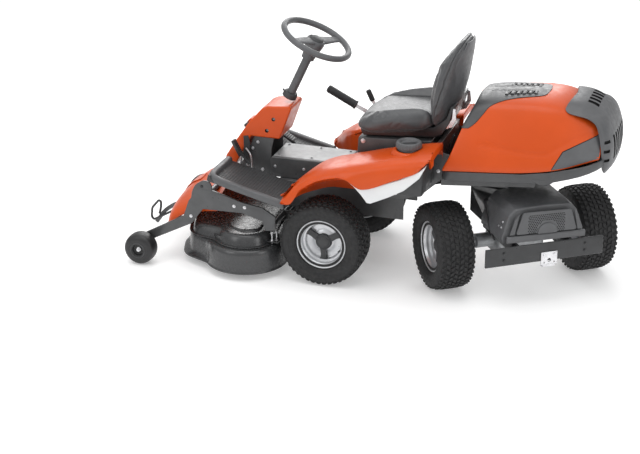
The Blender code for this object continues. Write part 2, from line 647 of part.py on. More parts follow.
def bogie(machine):
    """Steered rear bogie, modelled straight ahead on its pivot and turned to left lock."""
    axis = pivot("bogie_pivot", (-WHEELBASE, 0, 0), (0, 0, -BOGIE_LOCK), machine)
    frame = box("bogie_frame", (-0.070, -0.166, 0.300), (0.150, 0.166, 0.312), BLACK_PAINT, axis)
    bearing = lathe("pivot_bearing", [(0.040, 0.4895), (0.040, 0.305), (0.0, 0.305),
                                      (0.0, 0.4895)], 24, None, axis)
    arms = [box(f"bogie_arm_{side}", (-0.322, side * 0.130 - 0.006, 0.245),
                (0.060, side * 0.130 + 0.006, 0.306), None, axis) for side in (-1, 1)]
    cheeks = [box(f"bogie_cheek_{side}", (-0.052, side * 0.160 - 0.006, 0.300),
                  (0.150, side * 0.160 + 0.006, 0.425), None, axis) for side in (-1, 1)]
    roof = box("bogie_roof", (-0.052, -0.166, 0.413), (0.150, 0.166, 0.425), None, axis)
    combine(frame, [bearing, roof] + arms + cheeks, "UNION")
    bore = cylinder("bearing_bore", 0.0186, 0.200, (0, 0, 0.420), (0, 0, 1), None, axis)
    combine(frame, [bore], "DIFFERENCE")
    case = box("transaxle", (-0.085, -0.115, 0.135), (0.085, 0.115, 0.2995), CAST, axis, 0.012, 1)
    shaft = cylinder("drive_shaft", SHAFT_RADIUS, 2 * (REAR_HALF_TRACK + 0.036),
                     (0, 0, WHEEL_RADIUS), (0, 1, 0), None, axis)
    housing = cylinder("shaft_housing", 0.034, 0.400, (0, 0, WHEEL_RADIUS), (0, 1, 0), None, axis)
    combine(case, [shaft, housing], "UNION")
    rear = [(-0.302, 0.198, 0.3135), (-0.292, 0.174, 0.422), (-0.286, 0.096, 0.468),
            (-0.286, 0.0, 0.470)]
    hem = [(x, 0.0, z) for x, _, z in rear]
    rows = [[(x, 0.200, 0.3135), (x, 0.176, 0.430), (x, 0.100, 0.478), (x, 0.0, 0.481)]
            for x in (-0.262, -0.060)]
    loft("bogie_cover", [hem, rear] + rows, CHARCOAL, axis, (-0.15, 0.0, 0.30), mirror=True)
    box("bumper", (-0.333, -0.290, 0.217), (-0.3225, 0.290, 0.306), BLACK_PAINT, axis, 0.002, 1)
    box("hitch_plate", (-0.3385, -0.060, 0.200), (-0.3334, 0.020, 0.262), STEEL, axis)
    for side, name in ((1, "rear_left"), (-1, "rear_right")):
        road_wheel(name, axis, (0, side * REAR_HALF_TRACK, WHEEL_RADIUS), side)


# ---------------------------------------------------------------- cutting deck

def deck_outline(grow, front):
    """Plan of the deck: a drum round each side blade and a straight-sided nose."""
    radius = BLADE_RADIUS + grow
    left = [(front, 0.180)] + [(front - 0.050, 0.330)] + arc(SIDE_SPINDLE, radius, 35, 190, 12)
    left += [(SIDE_SPINDLE[0] - radius * 0.80, 0.100)]
    return left + mirrored(left)


def pressed_shell(name, plan, low, high, finish, parent, draft=0.0):
    """Open-bottomed pressing: walls round a plan outline and a flat top."""
    bm = bmesh.new()
    middle = SIDE_SPINDLE[0]
    base = [bm.verts.new((x, y, low)) for x, y in plan]
    top = [bm.verts.new((middle + (x - middle) * (1 - draft), y * (1 - draft), high))
           for x, y in plan]
    for index in range(len(plan)):
        after = (index + 1) % len(plan)
        bm.faces.new((base[index], base[after], top[after], top[index]))
    bm.faces.new(top)
    inside = (middle, 0.0, low)
    piece = place(name, outward_mesh(name, bm, inside), finish, parent)
    skin = piece.modifiers.new("skin", "SOLIDIFY")
    skin.thickness = 0.003
    skin.offset = -1.0
    skin.use_even_offset = True
    return piece


def deck_frame(machine, axis):
    """Lifting frame: a bent plate on each side, hinge arms and cross tubes."""
    side = [(0.242, 0.232), (0.236, 0.300), (0.300, 0.338), (0.400, 0.352), (0.560, 0.398),
            (0.620, 0.396), (0.672, 0.330), (0.700, 0.250), (0.900, 0.138), (0.935, 0.098),
            (0.925, 0.060), (0.880, 0.060), (0.860, 0.110), (0.660, 0.215), (0.600, 0.296),
            (0.400, 0.300), (0.300, 0.270), (0.285, 0.225)]
    plates = [outline(f"frame_plate_{end}", "xz", side, end * 0.352 - 0.005, end * 0.352 + 0.005,
                      None, machine) for end in (-1, 1)]
    arm = [(0.102, 0.236), (0.102, 0.264), (0.270, 0.256), (0.280, 0.228), (0.250, 0.224)]
    arms = [outline(f"hinge_arm_{end}", "xz", arm, end * 0.155 - 0.005, end * 0.155 + 0.005,
                    None, machine) for end in (-1, 1)]
    frame = cylinder("deck_frame", 0.016, 0.706, (0.600, 0, 0.345), (0, 1, 0), BLACK_PAINT, machine)
    hinge_tube = cylinder("hinge_tube", 0.011, 0.330, DECK_PIVOT, (0, 1, 0), None, machine)
    rear_tube = cylinder("rear_tube", 0.012, 0.706, (0.262, 0, 0.241), (0, 1, 0), None, machine)
    nose = cylinder("nose_tube", 0.013, 0.706, (0.806, 0, 0.166), (0, 1, 0), None, machine)
    stubs = [cylinder(f"wheel_stub_{end}", 0.008, 0.090,
                      (GAUGE_WHEEL[0], end * 0.395, GAUGE_WHEEL[2]), (0, 1, 0), None, machine, 16)
             for end in (-1, 1)]
    combine(frame, plates + arms + [hinge_tube, rear_tube, nose] + stubs, "UNION")
    hang(frame, axis)


def deck_front_cover(machine, axis):
    """Orange hood over the front of the deck, open behind and below."""
    front = [(0.842, 0.235), (0.800, 0.300), (0.735, 0.365), (0.660, 0.405)]
    rows = []
    for y, drop in ((0.0, 0.0), (0.15, 0.004), (0.26, 0.016), (0.310, 0.040), (0.324, 0.075)):
        rows.append([(x - 0.35 * drop, y, z - drop * 0.8) for x, z in front])
    lip = [(x - 0.008, y, max(z - 0.042, 0.184)) for x, y, z in (row[0] for row in rows)]
    sections = [[edge] + row for edge, row in zip(lip, rows)]
    cover = loft("deck_front_cover", sections, ORANGE, machine, (0.65, 0.0, 0.20), 0.003,
                 mirror=True)
    hang(cover, axis)


def lift_handle(machine, axis):
    """Wire loop at the nose for tipping the deck up."""
    points = [(0.828, 0.060, 0.168), (0.930, 0.060, 0.110), (0.990, 0.060, 0.075),
              (1.002, 0.062, 0.090), (0.996, 0.064, 0.140), (0.958, 0.066, 0.185),
              (0.944, 0.070, 0.182), (0.944, 0.075, 0.150), (0.950, 0.080, 0.120)]
    hang(tube("lift_handle", points, 0.006, BLACK_PAINT, machine), axis)


def blade(name, x, y, machine, axis):
    """Blade bar with its spindle, origin on the spindle's axis."""
    centre = (x, y, 0.075)
    spindle = pivot(f"{name}_axis", centre, parent=machine)
    bar = box(name, (-BLADE_RADIUS, -0.025, -0.003), (BLADE_RADIUS, 0.025, 0.003), STEEL, spindle)
    shaft = cylinder(f"{name}_shaft", 0.012, 0.084, (0, 0, 0.036), (0, 0, 1), None, spindle, 16)
    combine(bar, [shaft], "UNION")
    hang(spindle, axis)


def deck(machine):
    axis = pivot("deck_hinge", DECK_PIVOT, parent=machine)
    deck_frame(machine, axis)
    shell = pressed_shell("deck_shell", deck_outline(0.037, 0.770), 0.035, 0.150, BLACK_PAINT,
                          machine, 0.03)
    for x, y in ((*SIDE_SPINDLE,), (SIDE_SPINDLE[0], -SIDE_SPINDLE[1]), CENTRE_SPINDLE):
        hole = cylinder("spindle_hole", 0.016, 0.05, (x, y, 0.150), (0, 0, 1), None, machine)
        combine(shell, [hole], "DIFFERENCE")
    hang(shell, axis)
    cover = pressed_shell("belt_cover", deck_outline(-0.018, 0.720), 0.1525, 0.212, BLACK_PAINT,
                          machine, 0.10)
    belt_entry = box("belt_entry", (0.270, -0.060, 0.162), (0.335, 0.060, 0.196), None, machine)
    combine(cover, [belt_entry], "DIFFERENCE")
    hang(cover, axis)
    deck_front_cover(machine, axis)
    lift_handle(machine, axis)
    blade("blade_left", *SIDE_SPINDLE, machine, axis)
    blade("blade_centre", *CENTRE_SPINDLE, machine, axis)
    blade("blade_right", SIDE_SPINDLE[0], -SIDE_SPINDLE[1], machine, axis)
    for side, name in ((1, "gauge_wheel_left"), (-1, "gauge_wheel_right")):
        hang(gauge_wheel(name, machine, side), axis)


# ---------------------------------------------------------------- controls

def lever(name, root, tip, width, grip_radius, grip_length, machine):
    """Flat bar from its pivot at root to a grip that ends at tip, both in the machine's axes."""
    axis = pivot(f"{name}_axis", root, parent=machine)
    span = Vector(tip) - Vector(root)
    turn = span.to_track_quat("X", "Z").to_euler()
    bar = box(name, (-0.012, -0.0025, -width / 2), (span.length - 0.02, 0.0025, width / 2), STEEL,
              axis)
    bar.location = turn.to_matrix() @ bar.location
    bar.rotation_euler = turn
    middle = turn.to_matrix() @ Vector((span.length - grip_length / 2, 0, 0))
    grip = cylinder(f"{name}_grip", grip_radius, grip_length, middle, span, None, axis, 16)
    combine(bar, [grip], "UNION")
    return bar


def controls(machine):
    lever("lift_lever", (-0.200, -0.250, 0.566), (0.175, -0.250, 0.753), 0.022, 0.016, 0.175,
          machine)
    lever("height_lever", (-0.100, -0.300, 0.570), (-0.014, -0.300, 0.748), 0.016, 0.012, 0.060,
          machine)
    lever("throttle_lever", (-0.350, -0.340, 0.640), (-0.335, -0.340, 0.722), 0.012, 0.009, 0.028,
          machine)


def ignition_key(machine):
    """Key bow on the lock barrel that turns in the right fender."""
    axis = pivot("key_axis", KEY_SWITCH, parent=machine)
    barrel = cylinder("ignition_key", 0.0090, 0.034, (0, 0, 0), (0, 0, 1), CHARCOAL, axis, 16)
    bow = box("key_bow", (-0.013, -0.0018, 0.012), (0.013, 0.0018, 0.040), None, axis)
    combine(barrel, [bow], "UNION")


def pedal(name, root, pad, size, tilt, machine):
    """Foot pedal: a pad on a rod from its pivot, its front edge raised by tilt degrees."""
    axis = pivot(f"{name}_axis", root, parent=machine)
    reach = Vector(pad) - Vector(root)
    plate = box(name, (-size[0] / 2, -size[1] / 2, -0.006), (size[0] / 2, size[1] / 2, 0.006), GRIP,
                axis, 0.002, 1)
    plate.location = reach
    plate.rotation_euler = (0, radians(-tilt), 0)
    rod = solid_mesh(tube(f"{name}_rod", [(0, 0, 0), reach], 0.006, None, axis))
    combine(plate, [rod], "UNION")
    return plate


def pedals(machine):
    pedal("brake_pedal", (0.440, 0.150, 0.466), (0.500, 0.150, 0.545), (0.085, 0.038), 62, machine)
    pedal("forward_pedal", (0.405, -0.330, 0.456), (0.470, -0.330, 0.510), (0.110, 0.060), 32,
          machine)
    pedal("reverse_pedal", (0.330, -0.240, 0.436), (0.375, -0.240, 0.482), (0.070, 0.055), 32,
          machine)


def main():
    machine = pivot("mower", (FRONT_AXLE_X, 0, 0))
    main_frame(machine)
    front_axle(machine)
    engine_frame(machine)
    kingpin(machine)
    console(machine)
    steering(machine)
    floor(machine)
    fenders(machine)
    fuel_system(machine)
    seat(machine)
    engine_tray(machine)
    engine(machine)
    hood(machine)
    hood_strap(machine)
    bogie(machine)
    deck(machine)
    controls(machine)
    ignition_key(machine)
    pedals(machine)
    for side, name in ((1, "front_left"), (-1, "front_right")):
        road_wheel(name, machine, (0, side * FRONT_HALF_TRACK, WHEEL_RADIUS), side)


main()
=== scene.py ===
"""Looks of an articulated rider mower: its shells, seat, tyres and fittings, and their materials.

Lengths are metres. Shapes are written from the front axle on the ground, x forward and y to the
operator's left, or in a turning part's own axes; a placing matrix moves them into the frame.
"""
import json
from math import asin, cos, exp, pi, radians, sin

import bmesh
import bpy
from mathutils import Matrix, Vector
from mathutils.bvhtree import BVHTree

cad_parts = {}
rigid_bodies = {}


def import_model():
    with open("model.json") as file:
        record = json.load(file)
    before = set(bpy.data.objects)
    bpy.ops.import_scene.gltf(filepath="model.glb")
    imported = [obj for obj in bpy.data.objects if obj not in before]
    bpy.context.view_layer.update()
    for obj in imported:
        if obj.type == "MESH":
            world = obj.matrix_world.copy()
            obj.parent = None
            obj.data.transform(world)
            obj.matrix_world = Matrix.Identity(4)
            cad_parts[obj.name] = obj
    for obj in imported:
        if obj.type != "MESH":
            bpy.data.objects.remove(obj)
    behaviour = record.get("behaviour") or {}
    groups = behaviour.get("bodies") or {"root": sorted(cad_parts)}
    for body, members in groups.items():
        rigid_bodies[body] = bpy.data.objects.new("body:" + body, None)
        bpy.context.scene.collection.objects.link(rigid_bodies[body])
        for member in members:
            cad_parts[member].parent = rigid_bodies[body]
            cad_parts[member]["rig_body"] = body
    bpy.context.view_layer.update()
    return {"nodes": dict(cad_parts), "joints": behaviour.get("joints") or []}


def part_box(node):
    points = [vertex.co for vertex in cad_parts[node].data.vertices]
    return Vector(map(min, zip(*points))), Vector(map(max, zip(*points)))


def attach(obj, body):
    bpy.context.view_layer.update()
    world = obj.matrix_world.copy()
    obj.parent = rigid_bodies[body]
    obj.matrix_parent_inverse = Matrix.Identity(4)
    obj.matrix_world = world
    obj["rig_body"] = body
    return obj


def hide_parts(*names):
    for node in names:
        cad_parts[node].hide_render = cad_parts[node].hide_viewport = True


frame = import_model()
NODES = frame["nodes"]
JOINTS = {joint["name"]: joint for joint in frame["joints"]}


def middle(node):
    low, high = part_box(node)
    return (low + high) / 2


# ---------------------------------------------------------------- places taken from the frame

AXLE_X = middle("front_left_tyre").x
MACHINE = Matrix.Translation((AXLE_X, 0, 0))
BOGIE_LOCK = radians(JOINTS["bogie_steer"]["range_deg"][1] / 2)
BOGIE = (Matrix.Translation((JOINTS["bogie_steer"]["pos_m"][0], 0, 0))
         @ Matrix.Rotation(-BOGIE_LOCK, 4, "Z"))
COLUMN_LEAN = asin(-JOINTS["steering_wheel_turn"]["axis"][0])
COLUMN = (Matrix.Translation(JOINTS["steering_wheel_turn"]["pos_m"])
          @ Matrix.Rotation(-COLUMN_LEAN, 4, "Y"))
WHEEL_RADIUS = middle("front_left_tyre").z
FRONT_HALF_TRACK = middle("front_left_tyre").y
REAR_HALF_TRACK = (middle("rear_left_tyre") - middle("rear_right_tyre")).length / 2
FENDER_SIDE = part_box("fender_left")[1].y


# ---------------------------------------------------------------- materials


class Finish:
    """A Principled material under construction, with noise in the piece's own metres."""

    def __init__(self, name, slot, colour, roughness, metallic=0.0):
        self.material = bpy.data.materials.new(name)
        self.material.use_nodes = True
        self.material.diffuse_color = (*colour, 1.0)
        self.nodes = self.material.node_tree.nodes
        self.links = self.material.node_tree.links
        self.shader = self.nodes["Principled BSDF"]
        self.colour = colour
        self.set("Base Color", (*colour, 1.0))
        self.set("Roughness", roughness)
        self.set("Metallic", metallic)
        self.coords = self.nodes.new("ShaderNodeTexCoord").outputs["Object"]

    def set(self, socket, value):
        self.shader.inputs[socket].default_value = value

    def noise(self, scale, detail=3.0, stretch=(1, 1, 1), rough=0.55):
        mapping = self.nodes.new("ShaderNodeMapping")
        mapping.inputs["Scale"].default_value = stretch
        self.links.new(self.coords, mapping.inputs["Vector"])
        texture = self.nodes.new("ShaderNodeTexNoise")
        texture.inputs["Scale"].default_value = scale
        texture.inputs["Detail"].default_value = detail
        texture.inputs["Roughness"].default_value = rough
        self.links.new(mapping.outputs["Vector"], texture.inputs["Vector"])
        return texture.outputs["Fac"]

    def cells(self, scale, feature="DISTANCE_TO_EDGE"):
        texture = self.nodes.new("ShaderNodeTexVoronoi")
        texture.feature = feature
        texture.inputs["Scale"].default_value = scale
        self.links.new(self.coords, texture.inputs["Vector"])
        return texture.outputs["Distance"]

    def ramp(self, value, low, high, to_low, to_high):
        span = self.nodes.new("ShaderNodeMapRange")
        for socket, number in zip(("From Min", "From Max", "To Min", "To Max"),
                                  (low, high, to_low, to_high)):
            span.inputs[socket].default_value = number
        self.links.new(value, span.inputs["Value"])
        return span.outputs["Result"]

    def times(self, first, second):
        product = self.nodes.new("ShaderNodeMath")
        product.operation = "MULTIPLY"
        self.links.new(first, product.inputs[0])
        self.links.new(second, product.inputs[1])
        return product.outputs["Value"]

    def tint(self, value, colour):
        """Mixes a second colour in where value is 1, over what the base colour is so far."""
        mix = self.nodes.new("ShaderNodeMix")
        mix.data_type = "RGBA"
        below, above = [socket for socket in mix.inputs if socket.type == "RGBA"]
        base = self.shader.inputs["Base Color"]
        if base.links:
            self.links.new(base.links[0].from_socket, below)
        else:
            below.default_value = base.default_value
        above.default_value = (*colour, 1.0)
        self.links.new(value, mix.inputs["Factor"])
        mixed = next(socket for socket in mix.outputs if socket.type == "RGBA")
        self.links.new(mixed, base)
        return self

    def mottle(self, amount, scale):
        """Cloudy variation of the colour: a lighter and a darker tone."""
        cloud = self.noise(scale, 4.0)
        self.tint(self.ramp(cloud, 0.35, 0.62, 0.0, 1.0), [c * (1 - amount) for c in self.colour])
        return self

    def roughen(self, low, high, scale, stretch=(1, 1, 1)):
        grain = self.noise(scale, 5.0, stretch)
        self.links.new(self.ramp(grain, 0.3, 0.7, low, high), self.shader.inputs["Roughness"])
        return self

    def bump(self, height, strength, distance):
        relief = self.nodes.new("ShaderNodeBump")
        relief.inputs["Strength"].default_value = strength
        relief.inputs["Distance"].default_value = distance
        normal = self.shader.inputs["Normal"]
        if normal.links:
            self.links.new(normal.links[0].from_socket, relief.inputs["Normal"])
        self.links.new(height, relief.inputs["Height"])
        self.links.new(relief.outputs["Normal"], normal)
        return self

    def facing_up(self):
        """1 on surfaces that face the sky, 0 on the rest."""
        geometry = self.nodes.new("ShaderNodeNewGeometry")
        split = self.nodes.new("ShaderNodeSeparateXYZ")
        self.links.new(geometry.outputs["Normal"], split.inputs["Vector"])
        return self.ramp(split.outputs["Z"], 0.5, 1.0, 0.0, 1.0)


def gloss_plastic(name, slot, colour, coat):
    finish = Finish(name, slot, colour, 0.36)
    finish.set("Specular IOR Level", 0.30)
    finish.set("Coat Weight", coat)
    finish.set("Coat Roughness", 0.16)
    finish.mottle(0.07, 5.0)
    finish.roughen(0.28, 0.42, 38.0)
    finish.bump(finish.noise(9.0, 2.0), 0.25, 0.0012)
    finish.bump(finish.noise(520.0, 2.0), 0.10, 0.0002)
    return finish.material


def moulded_plastic(name, slot, colour, roughness, grain):
    """Matt plastic with a fine spark-eroded grain and polished patches."""
    finish = Finish(name, slot, colour, roughness)
    finish.mottle(0.16, 11.0)
    finish.roughen(roughness - 0.10, roughness + 0.10, 46.0)
    finish.bump(finish.noise(1500.0, 2.0), grain, 0.0003)
    finish.bump(finish.noise(60.0, 3.0), 0.08, 0.0006)
    return finish.material


def powder_coat(name, slot, colour, roughness=0.36, wear_and_sheen=1.0):
    """Painted steel; the last argument scales its mottling and the dust and painted sheen that lighten its
    upper faces.
    """
    finish = Finish(name, slot, colour, roughness, 0.15)
    finish.set("Coat Weight", 0.25)
    finish.set("Coat Roughness", 0.25)
    finish.mottle(0.22 * wear_and_sheen, 14.0)
    finish.roughen(roughness - 0.09, roughness + 0.10, 55.0)
    finish.bump(finish.noise(330.0, 2.0), 0.22, 0.0003)
    # Dust and painted sheen: a patchy lighter grey on upward faces, partly dust and partly painted top
    # light.
    dust_and_sheen = finish.times(finish.facing_up(), finish.ramp(finish.noise(30.0, 6.0), 0.5, 0.8, 0, 0.35 * wear_and_sheen))
    finish.tint(dust_and_sheen, (0.16, 0.155, 0.145))
    return finish.material


def bright_steel(name, slot, colour, stretch, roughness=0.26):
    """Plated steel with fine drawn lines along one axis."""
    finish = Finish(name, slot, colour, roughness, 1.0)
    finish.roughen(roughness - 0.08, roughness + 0.14, 260.0, stretch)
    finish.mottle(0.12, 40.0)
    finish.bump(finish.noise(700.0, 2.0, stretch), 0.15, 0.0002)
    return finish.material


def rim_paint(name, slot, colour):
    finish = Finish(name, slot, colour, 0.34, 0.65)
    finish.set("Coat Weight", 0.35)
    finish.set("Coat Roughness", 0.2)
    finish.mottle(0.10, 22.0)
    finish.roughen(0.26, 0.42, 80.0)
    finish.bump(finish.noise(900.0, 2.0), 0.10, 0.0002)
    return finish.material


def cast_metal(name, slot, colour):
    finish = Finish(name, slot, colour, 0.55, 0.8)
    finish.mottle(0.25, 30.0)
    finish.roughen(0.45, 0.7, 90.0)
    finish.bump(finish.noise(420.0, 4.0), 0.5, 0.0006)
    return finish.material


def tyre_rubber(name, slot, colour):
    finish = Finish(name, slot, colour, 0.78)
    finish.mottle(0.30, 24.0)
    finish.roughen(0.62, 0.88, 60.0)
    finish.tint(finish.ramp(finish.noise(48.0, 6.0), 0.56, 0.80, 0.0, 0.35), (0.060, 0.057, 0.052))
    finish.bump(finish.noise(800.0, 3.0), 0.35, 0.0004)
    finish.bump(finish.noise(90.0, 3.0), 0.12, 0.0010)
    return finish.material


def vinyl(name, slot, colour):
    """Leather-grain vinyl: small cells, a few long wrinkles, soft sheen."""
    finish = Finish(name, slot, colour, 0.38)
    finish.set("Specular IOR Level", 0.62)
    finish.set("Sheen Weight", 0.15)
    finish.set("Sheen Roughness", 0.45)
    finish.mottle(0.20, 16.0)
    finish.roughen(0.31, 0.47, 70.0)
    finish.bump(finish.cells(620.0), 0.35, 0.0005)
    finish.bump(finish.noise(26.0, 3.0, (1, 1, 2.5)), 0.18, 0.0020)
    return finish.material


def exhaust_steel(name, slot, colour):
    finish = Finish(name, slot, colour, 0.5, 0.7)
    finish.tint(finish.ramp(finish.noise(18.0, 5.0), 0.40, 0.65, 0.0, 0.8), (0.20, 0.09, 0.045))
    finish.roughen(0.4, 0.75, 65.0)
    finish.bump(finish.noise(300.0, 4.0), 0.4, 0.0006)
    return finish.material


def shadow_black(name, slot):
    """Painted shade for the dark inside of slots and grilles."""
    finish = Finish(name, slot, (0.006, 0.006, 0.0065), 0.85)
    finish.mottle(0.4, 80.0)
    finish.bump(finish.noise(400.0, 2.0), 0.2, 0.0004)
    return finish.material


def stitch_thread(name, slot):
    finish = Finish(name, slot, (0.035, 0.035, 0.037), 0.75)
    finish.mottle(0.3, 300.0)
    finish.bump(finish.noise(2500.0, 2.0), 0.5, 0.0003)
    return finish.material


ORANGE = gloss_plastic("orange_shell", "orange_plastic", (0.60, 0.074, 0.007), 0.06)
WHITE = gloss_plastic("white_shell", "white_plastic", (0.78, 0.79, 0.80), 0.2)
CHARCOAL = moulded_plastic("charcoal_moulding", "charcoal_plastic", (0.042, 0.043, 0.045), 0.50, 0.30)
GREY = moulded_plastic("grey_moulding", "grey_plastic", (0.098, 0.100, 0.105), 0.46, 0.28)
DARK_GREY = moulded_plastic("dark_grey_moulding", "grey_plastic", (0.066, 0.068, 0.071), 0.40, 0.22)
PALE_GREY = moulded_plastic("pale_grey_plate", "grey_plastic", (0.33, 0.335, 0.34), 0.42, 0.15)
MAT = moulded_plastic("footwell_mat", "charcoal_plastic", (0.050, 0.051, 0.053), 0.60, 0.30)
BLACK_PAINT = powder_coat("black_powder_coat", "black_painted_steel", (0.028, 0.029, 0.031))
DECK_PAINT = powder_coat("gloss_deck_paint", "black_painted_steel", (0.048, 0.049, 0.051), 0.26, 0.2)
DARK_STEEL = powder_coat("dark_grey_powder_coat", "black_painted_steel", (0.075, 0.077, 0.080))
ZINC = bright_steel("bright_zinc", "zinc_steel", (0.74, 0.74, 0.76), (1, 1, 12))
BRUSHED = bright_steel("brushed_bar", "zinc_steel", (0.68, 0.68, 0.70), (0.1, 6, 6), 0.22)
SILVER = rim_paint("silver_wheel_paint", "silver_rim_paint", (0.62, 0.63, 0.65))
CAST = cast_metal("sand_cast_aluminium", "cast_aluminium", (0.42, 0.43, 0.44))
WHEEL_BLACK = moulded_plastic("deck_wheel_black", "charcoal_plastic", (0.016, 0.016, 0.017), 0.42, 0.15)
RUBBER = tyre_rubber("tyre_rubber_black", "tyre_rubber", (0.020, 0.020, 0.021))
VINYL = vinyl("seat_vinyl_grain", "seat_vinyl", (0.060, 0.062, 0.066))
GRIP = moulded_plastic("soft_grip_rubber", "soft_grip", (0.022, 0.022, 0.024), 0.62, 0.5)
EXHAUST = exhaust_steel("exhaust_heat_steel", "exhaust_steel", (0.24, 0.22, 0.20))
SHADOW = shadow_black("slot_shadow", "charcoal_plastic")
THREAD = stitch_thread("seam_thread", "seat_vinyl")


# ---------------------------------------------------------------- shape helpers

def spline_point(p0, p1, p2, p3, t):
    """Catmull-Rom between p1 and p2, for tuples of any length."""
    return tuple(0.5 * ((2 * b) + (c - a) * t + (2 * a - 5 * b + 4 * c - d) * t * t
                        + (3 * b - a - 3 * c + d) * t ** 3)
                 for a, b, c, d in zip(p0, p1, p2, p3))


def smooth_line(points, steps, closed=False):
    """A smooth curve through the points, with steps points to each span."""
    count = len(points)
    spans = count if closed else count - 1
    line = []
    for span in range(spans):
        if closed:
            corners = [points[(span + k) % count] for k in (-1, 0, 1, 2)]
        else:
            corners = [points[min(max(span + k, 0), count - 1)] for k in (-1, 0, 1, 2)]
        line += [spline_point(*corners, step / steps) for step in range(steps)]
    return line if closed else line + [tuple(points[-1])]


def smooth_value(x, table):
    """Smooth curve through a short table of (x, value) pairs with falling x."""
    last = len(table) - 2
    span = 0
    while span < last and x < table[span + 1][0]:
        span += 1
    corners = [table[min(max(span + k, 0), len(table) - 1)][1] for k in (-1, 0, 1, 2)]
    (x0, _), (x1, _) = table[span], table[span + 1]
    t = min(max((x - x0) / (x1 - x0), 0.0), 1.0)
    return spline_point(*[(corner,) for corner in corners], t)[0]


def arc(centre, radius, start, end, count):
    angles = [radians(start + (end - start) * step / (count - 1)) for step in range(count)]
    return [(centre[0] + radius * cos(a), centre[1] + radius * sin(a)) for a in angles]


def to_mesh(name, bm):
    bmesh.ops.remove_doubles(bm, verts=bm.verts, dist=0.00002)
    bmesh.ops.recalc_face_normals(bm, faces=bm.faces[:])
    mesh = bpy.data.meshes.new(name)
    bm.to_mesh(mesh)
    bm.free()
    return mesh


def grid(bm, rows, around=False, along=False):
    """Faces over equal-length rows of points; around closes each row, along closes the set."""
    grid_rows = [[bm.verts.new(point) for point in row] for row in rows]
    pairs = list(zip(grid_rows, grid_rows[1:]))
    if along:
        pairs.append((grid_rows[-1], grid_rows[0]))
    for row, following in pairs:
        count = len(row)
        for k in range(count if around else count - 1):
            corners = (row[k], row[(k + 1) % count], following[(k + 1) % count], following[k])
            bm.faces.new(corners)
    return grid_rows


def grid_mesh(name, rows, around=False, along=False, caps=False):
    bm = bmesh.new()
    grid_rows = grid(bm, rows, around, along)
    if caps:
        bm.faces.new(grid_rows[0])
        bm.faces.new(grid_rows[-1])
    return to_mesh(name, bm)


def skin_mesh(name, rows, inside):
    """An open skin over rows of points, its faces turned away from a point inside it."""
    bm = bmesh.new()
    grid(bm, rows)
    bmesh.ops.remove_doubles(bm, verts=bm.verts, dist=0.00002)
    bmesh.ops.recalc_face_normals(bm, faces=bm.faces[:])
    facing = sum(face.calc_area() * face.normal.dot(face.calc_center_median() - Vector(inside))
                 for face in bm.faces)
    if facing < 0:
        bmesh.ops.reverse_faces(bm, faces=bm.faces[:])
    mesh = bpy.data.meshes.new(name)
    bm.to_mesh(mesh)
    bm.free()
    return mesh


def turned(name, profile, steps=64, closed=False):
    """A turned mesh about Z from (radius, height) points."""
    rows = [[(radius * cos(2 * pi * k / steps), radius * sin(2 * pi * k / steps), height)
             for k in range(steps)] for radius, height in profile]
    bm = bmesh.new()
    grid(bm, rows, around=True, along=closed)
    bmesh.ops.dissolve_degenerate(bm, dist=0.00001, edges=bm.edges[:])
    return to_mesh(name, bm)


AXES = {"xy": (0, 1, 2), "xz": (0, 2, 1), "yz": (1, 2, 0)}


def prism_into(bm, plane, points, low, high):
    first, second, across = AXES[plane]
    rings = []
    for level in (low, high):
        ring = []
        for a, b in points:
            where = [0.0, 0.0, 0.0]
            where[first], where[second], where[across] = a, b, level
            ring.append(bm.verts.new(where))
        rings.append(ring)
    count = len(points)
    for k in range(count):
        after = (k + 1) % count
        bm.faces.new((rings[0][k], rings[0][after], rings[1][after], rings[1][k]))
    bm.faces.new(rings[0])
    bm.faces.new(rings[1])
    return bm


def prism(name, plane, points, low, high):
    return to_mesh(name, prism_into(bmesh.new(), plane, points, low, high))


def slab(name, low, high):
    bm = bmesh.new()
    bmesh.ops.create_cube(bm, size=1.0)
    size = [h - l for l, h in zip(low, high)]
    bmesh.ops.scale(bm, vec=size, verts=bm.verts)
    bmesh.ops.translate(bm, vec=[(l + h) / 2 for l, h in zip(low, high)], verts=bm.verts)
    return to_mesh(name, bm)


def piece(name, data, finish, body, place=MACHINE, stands_for=(), smooth=True):
    """A visual piece in place, riding on a body, with its finish."""
    obj = bpy.data.objects.new(name, data)
    bpy.context.scene.collection.objects.link(obj)
    obj.matrix_world = place
    if not data.materials:
        data.materials.append(finish)
    if smooth and isinstance(data, bpy.types.Mesh):
        data.shade_smooth()
    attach(obj, body)
    if stands_for:
        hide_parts(*stands_for)
    return obj


def rounded(obj, width, segments=3, angle=35):
    edge = obj.modifiers.new("rounded_edges", "BEVEL")
    edge.width = width
    edge.segments = segments
    edge.limit_method = "ANGLE"
    edge.angle_limit = radians(angle)
    edge.harden_normals = True
    return obj


def subdivided(obj, levels=1):
    smoothing = obj.modifiers.new("smoothing", "SUBSURF")
    smoothing.levels = levels
    smoothing.render_levels = levels
    return obj


def thickened(obj, thickness, offset=-1.0):
    skin = obj.modifiers.new("skin", "SOLIDIFY")
    skin.thickness = thickness
    skin.offset = offset
    skin.use_even_offset = True
    return obj


def bake(obj):
    """Applies every modifier of a piece."""
    graph = bpy.context.evaluated_depsgraph_get()
    mesh = bpy.data.meshes.new_from_object(obj.evaluated_get(graph))
    obj.modifiers.clear()
    obj.data = mesh
    return obj


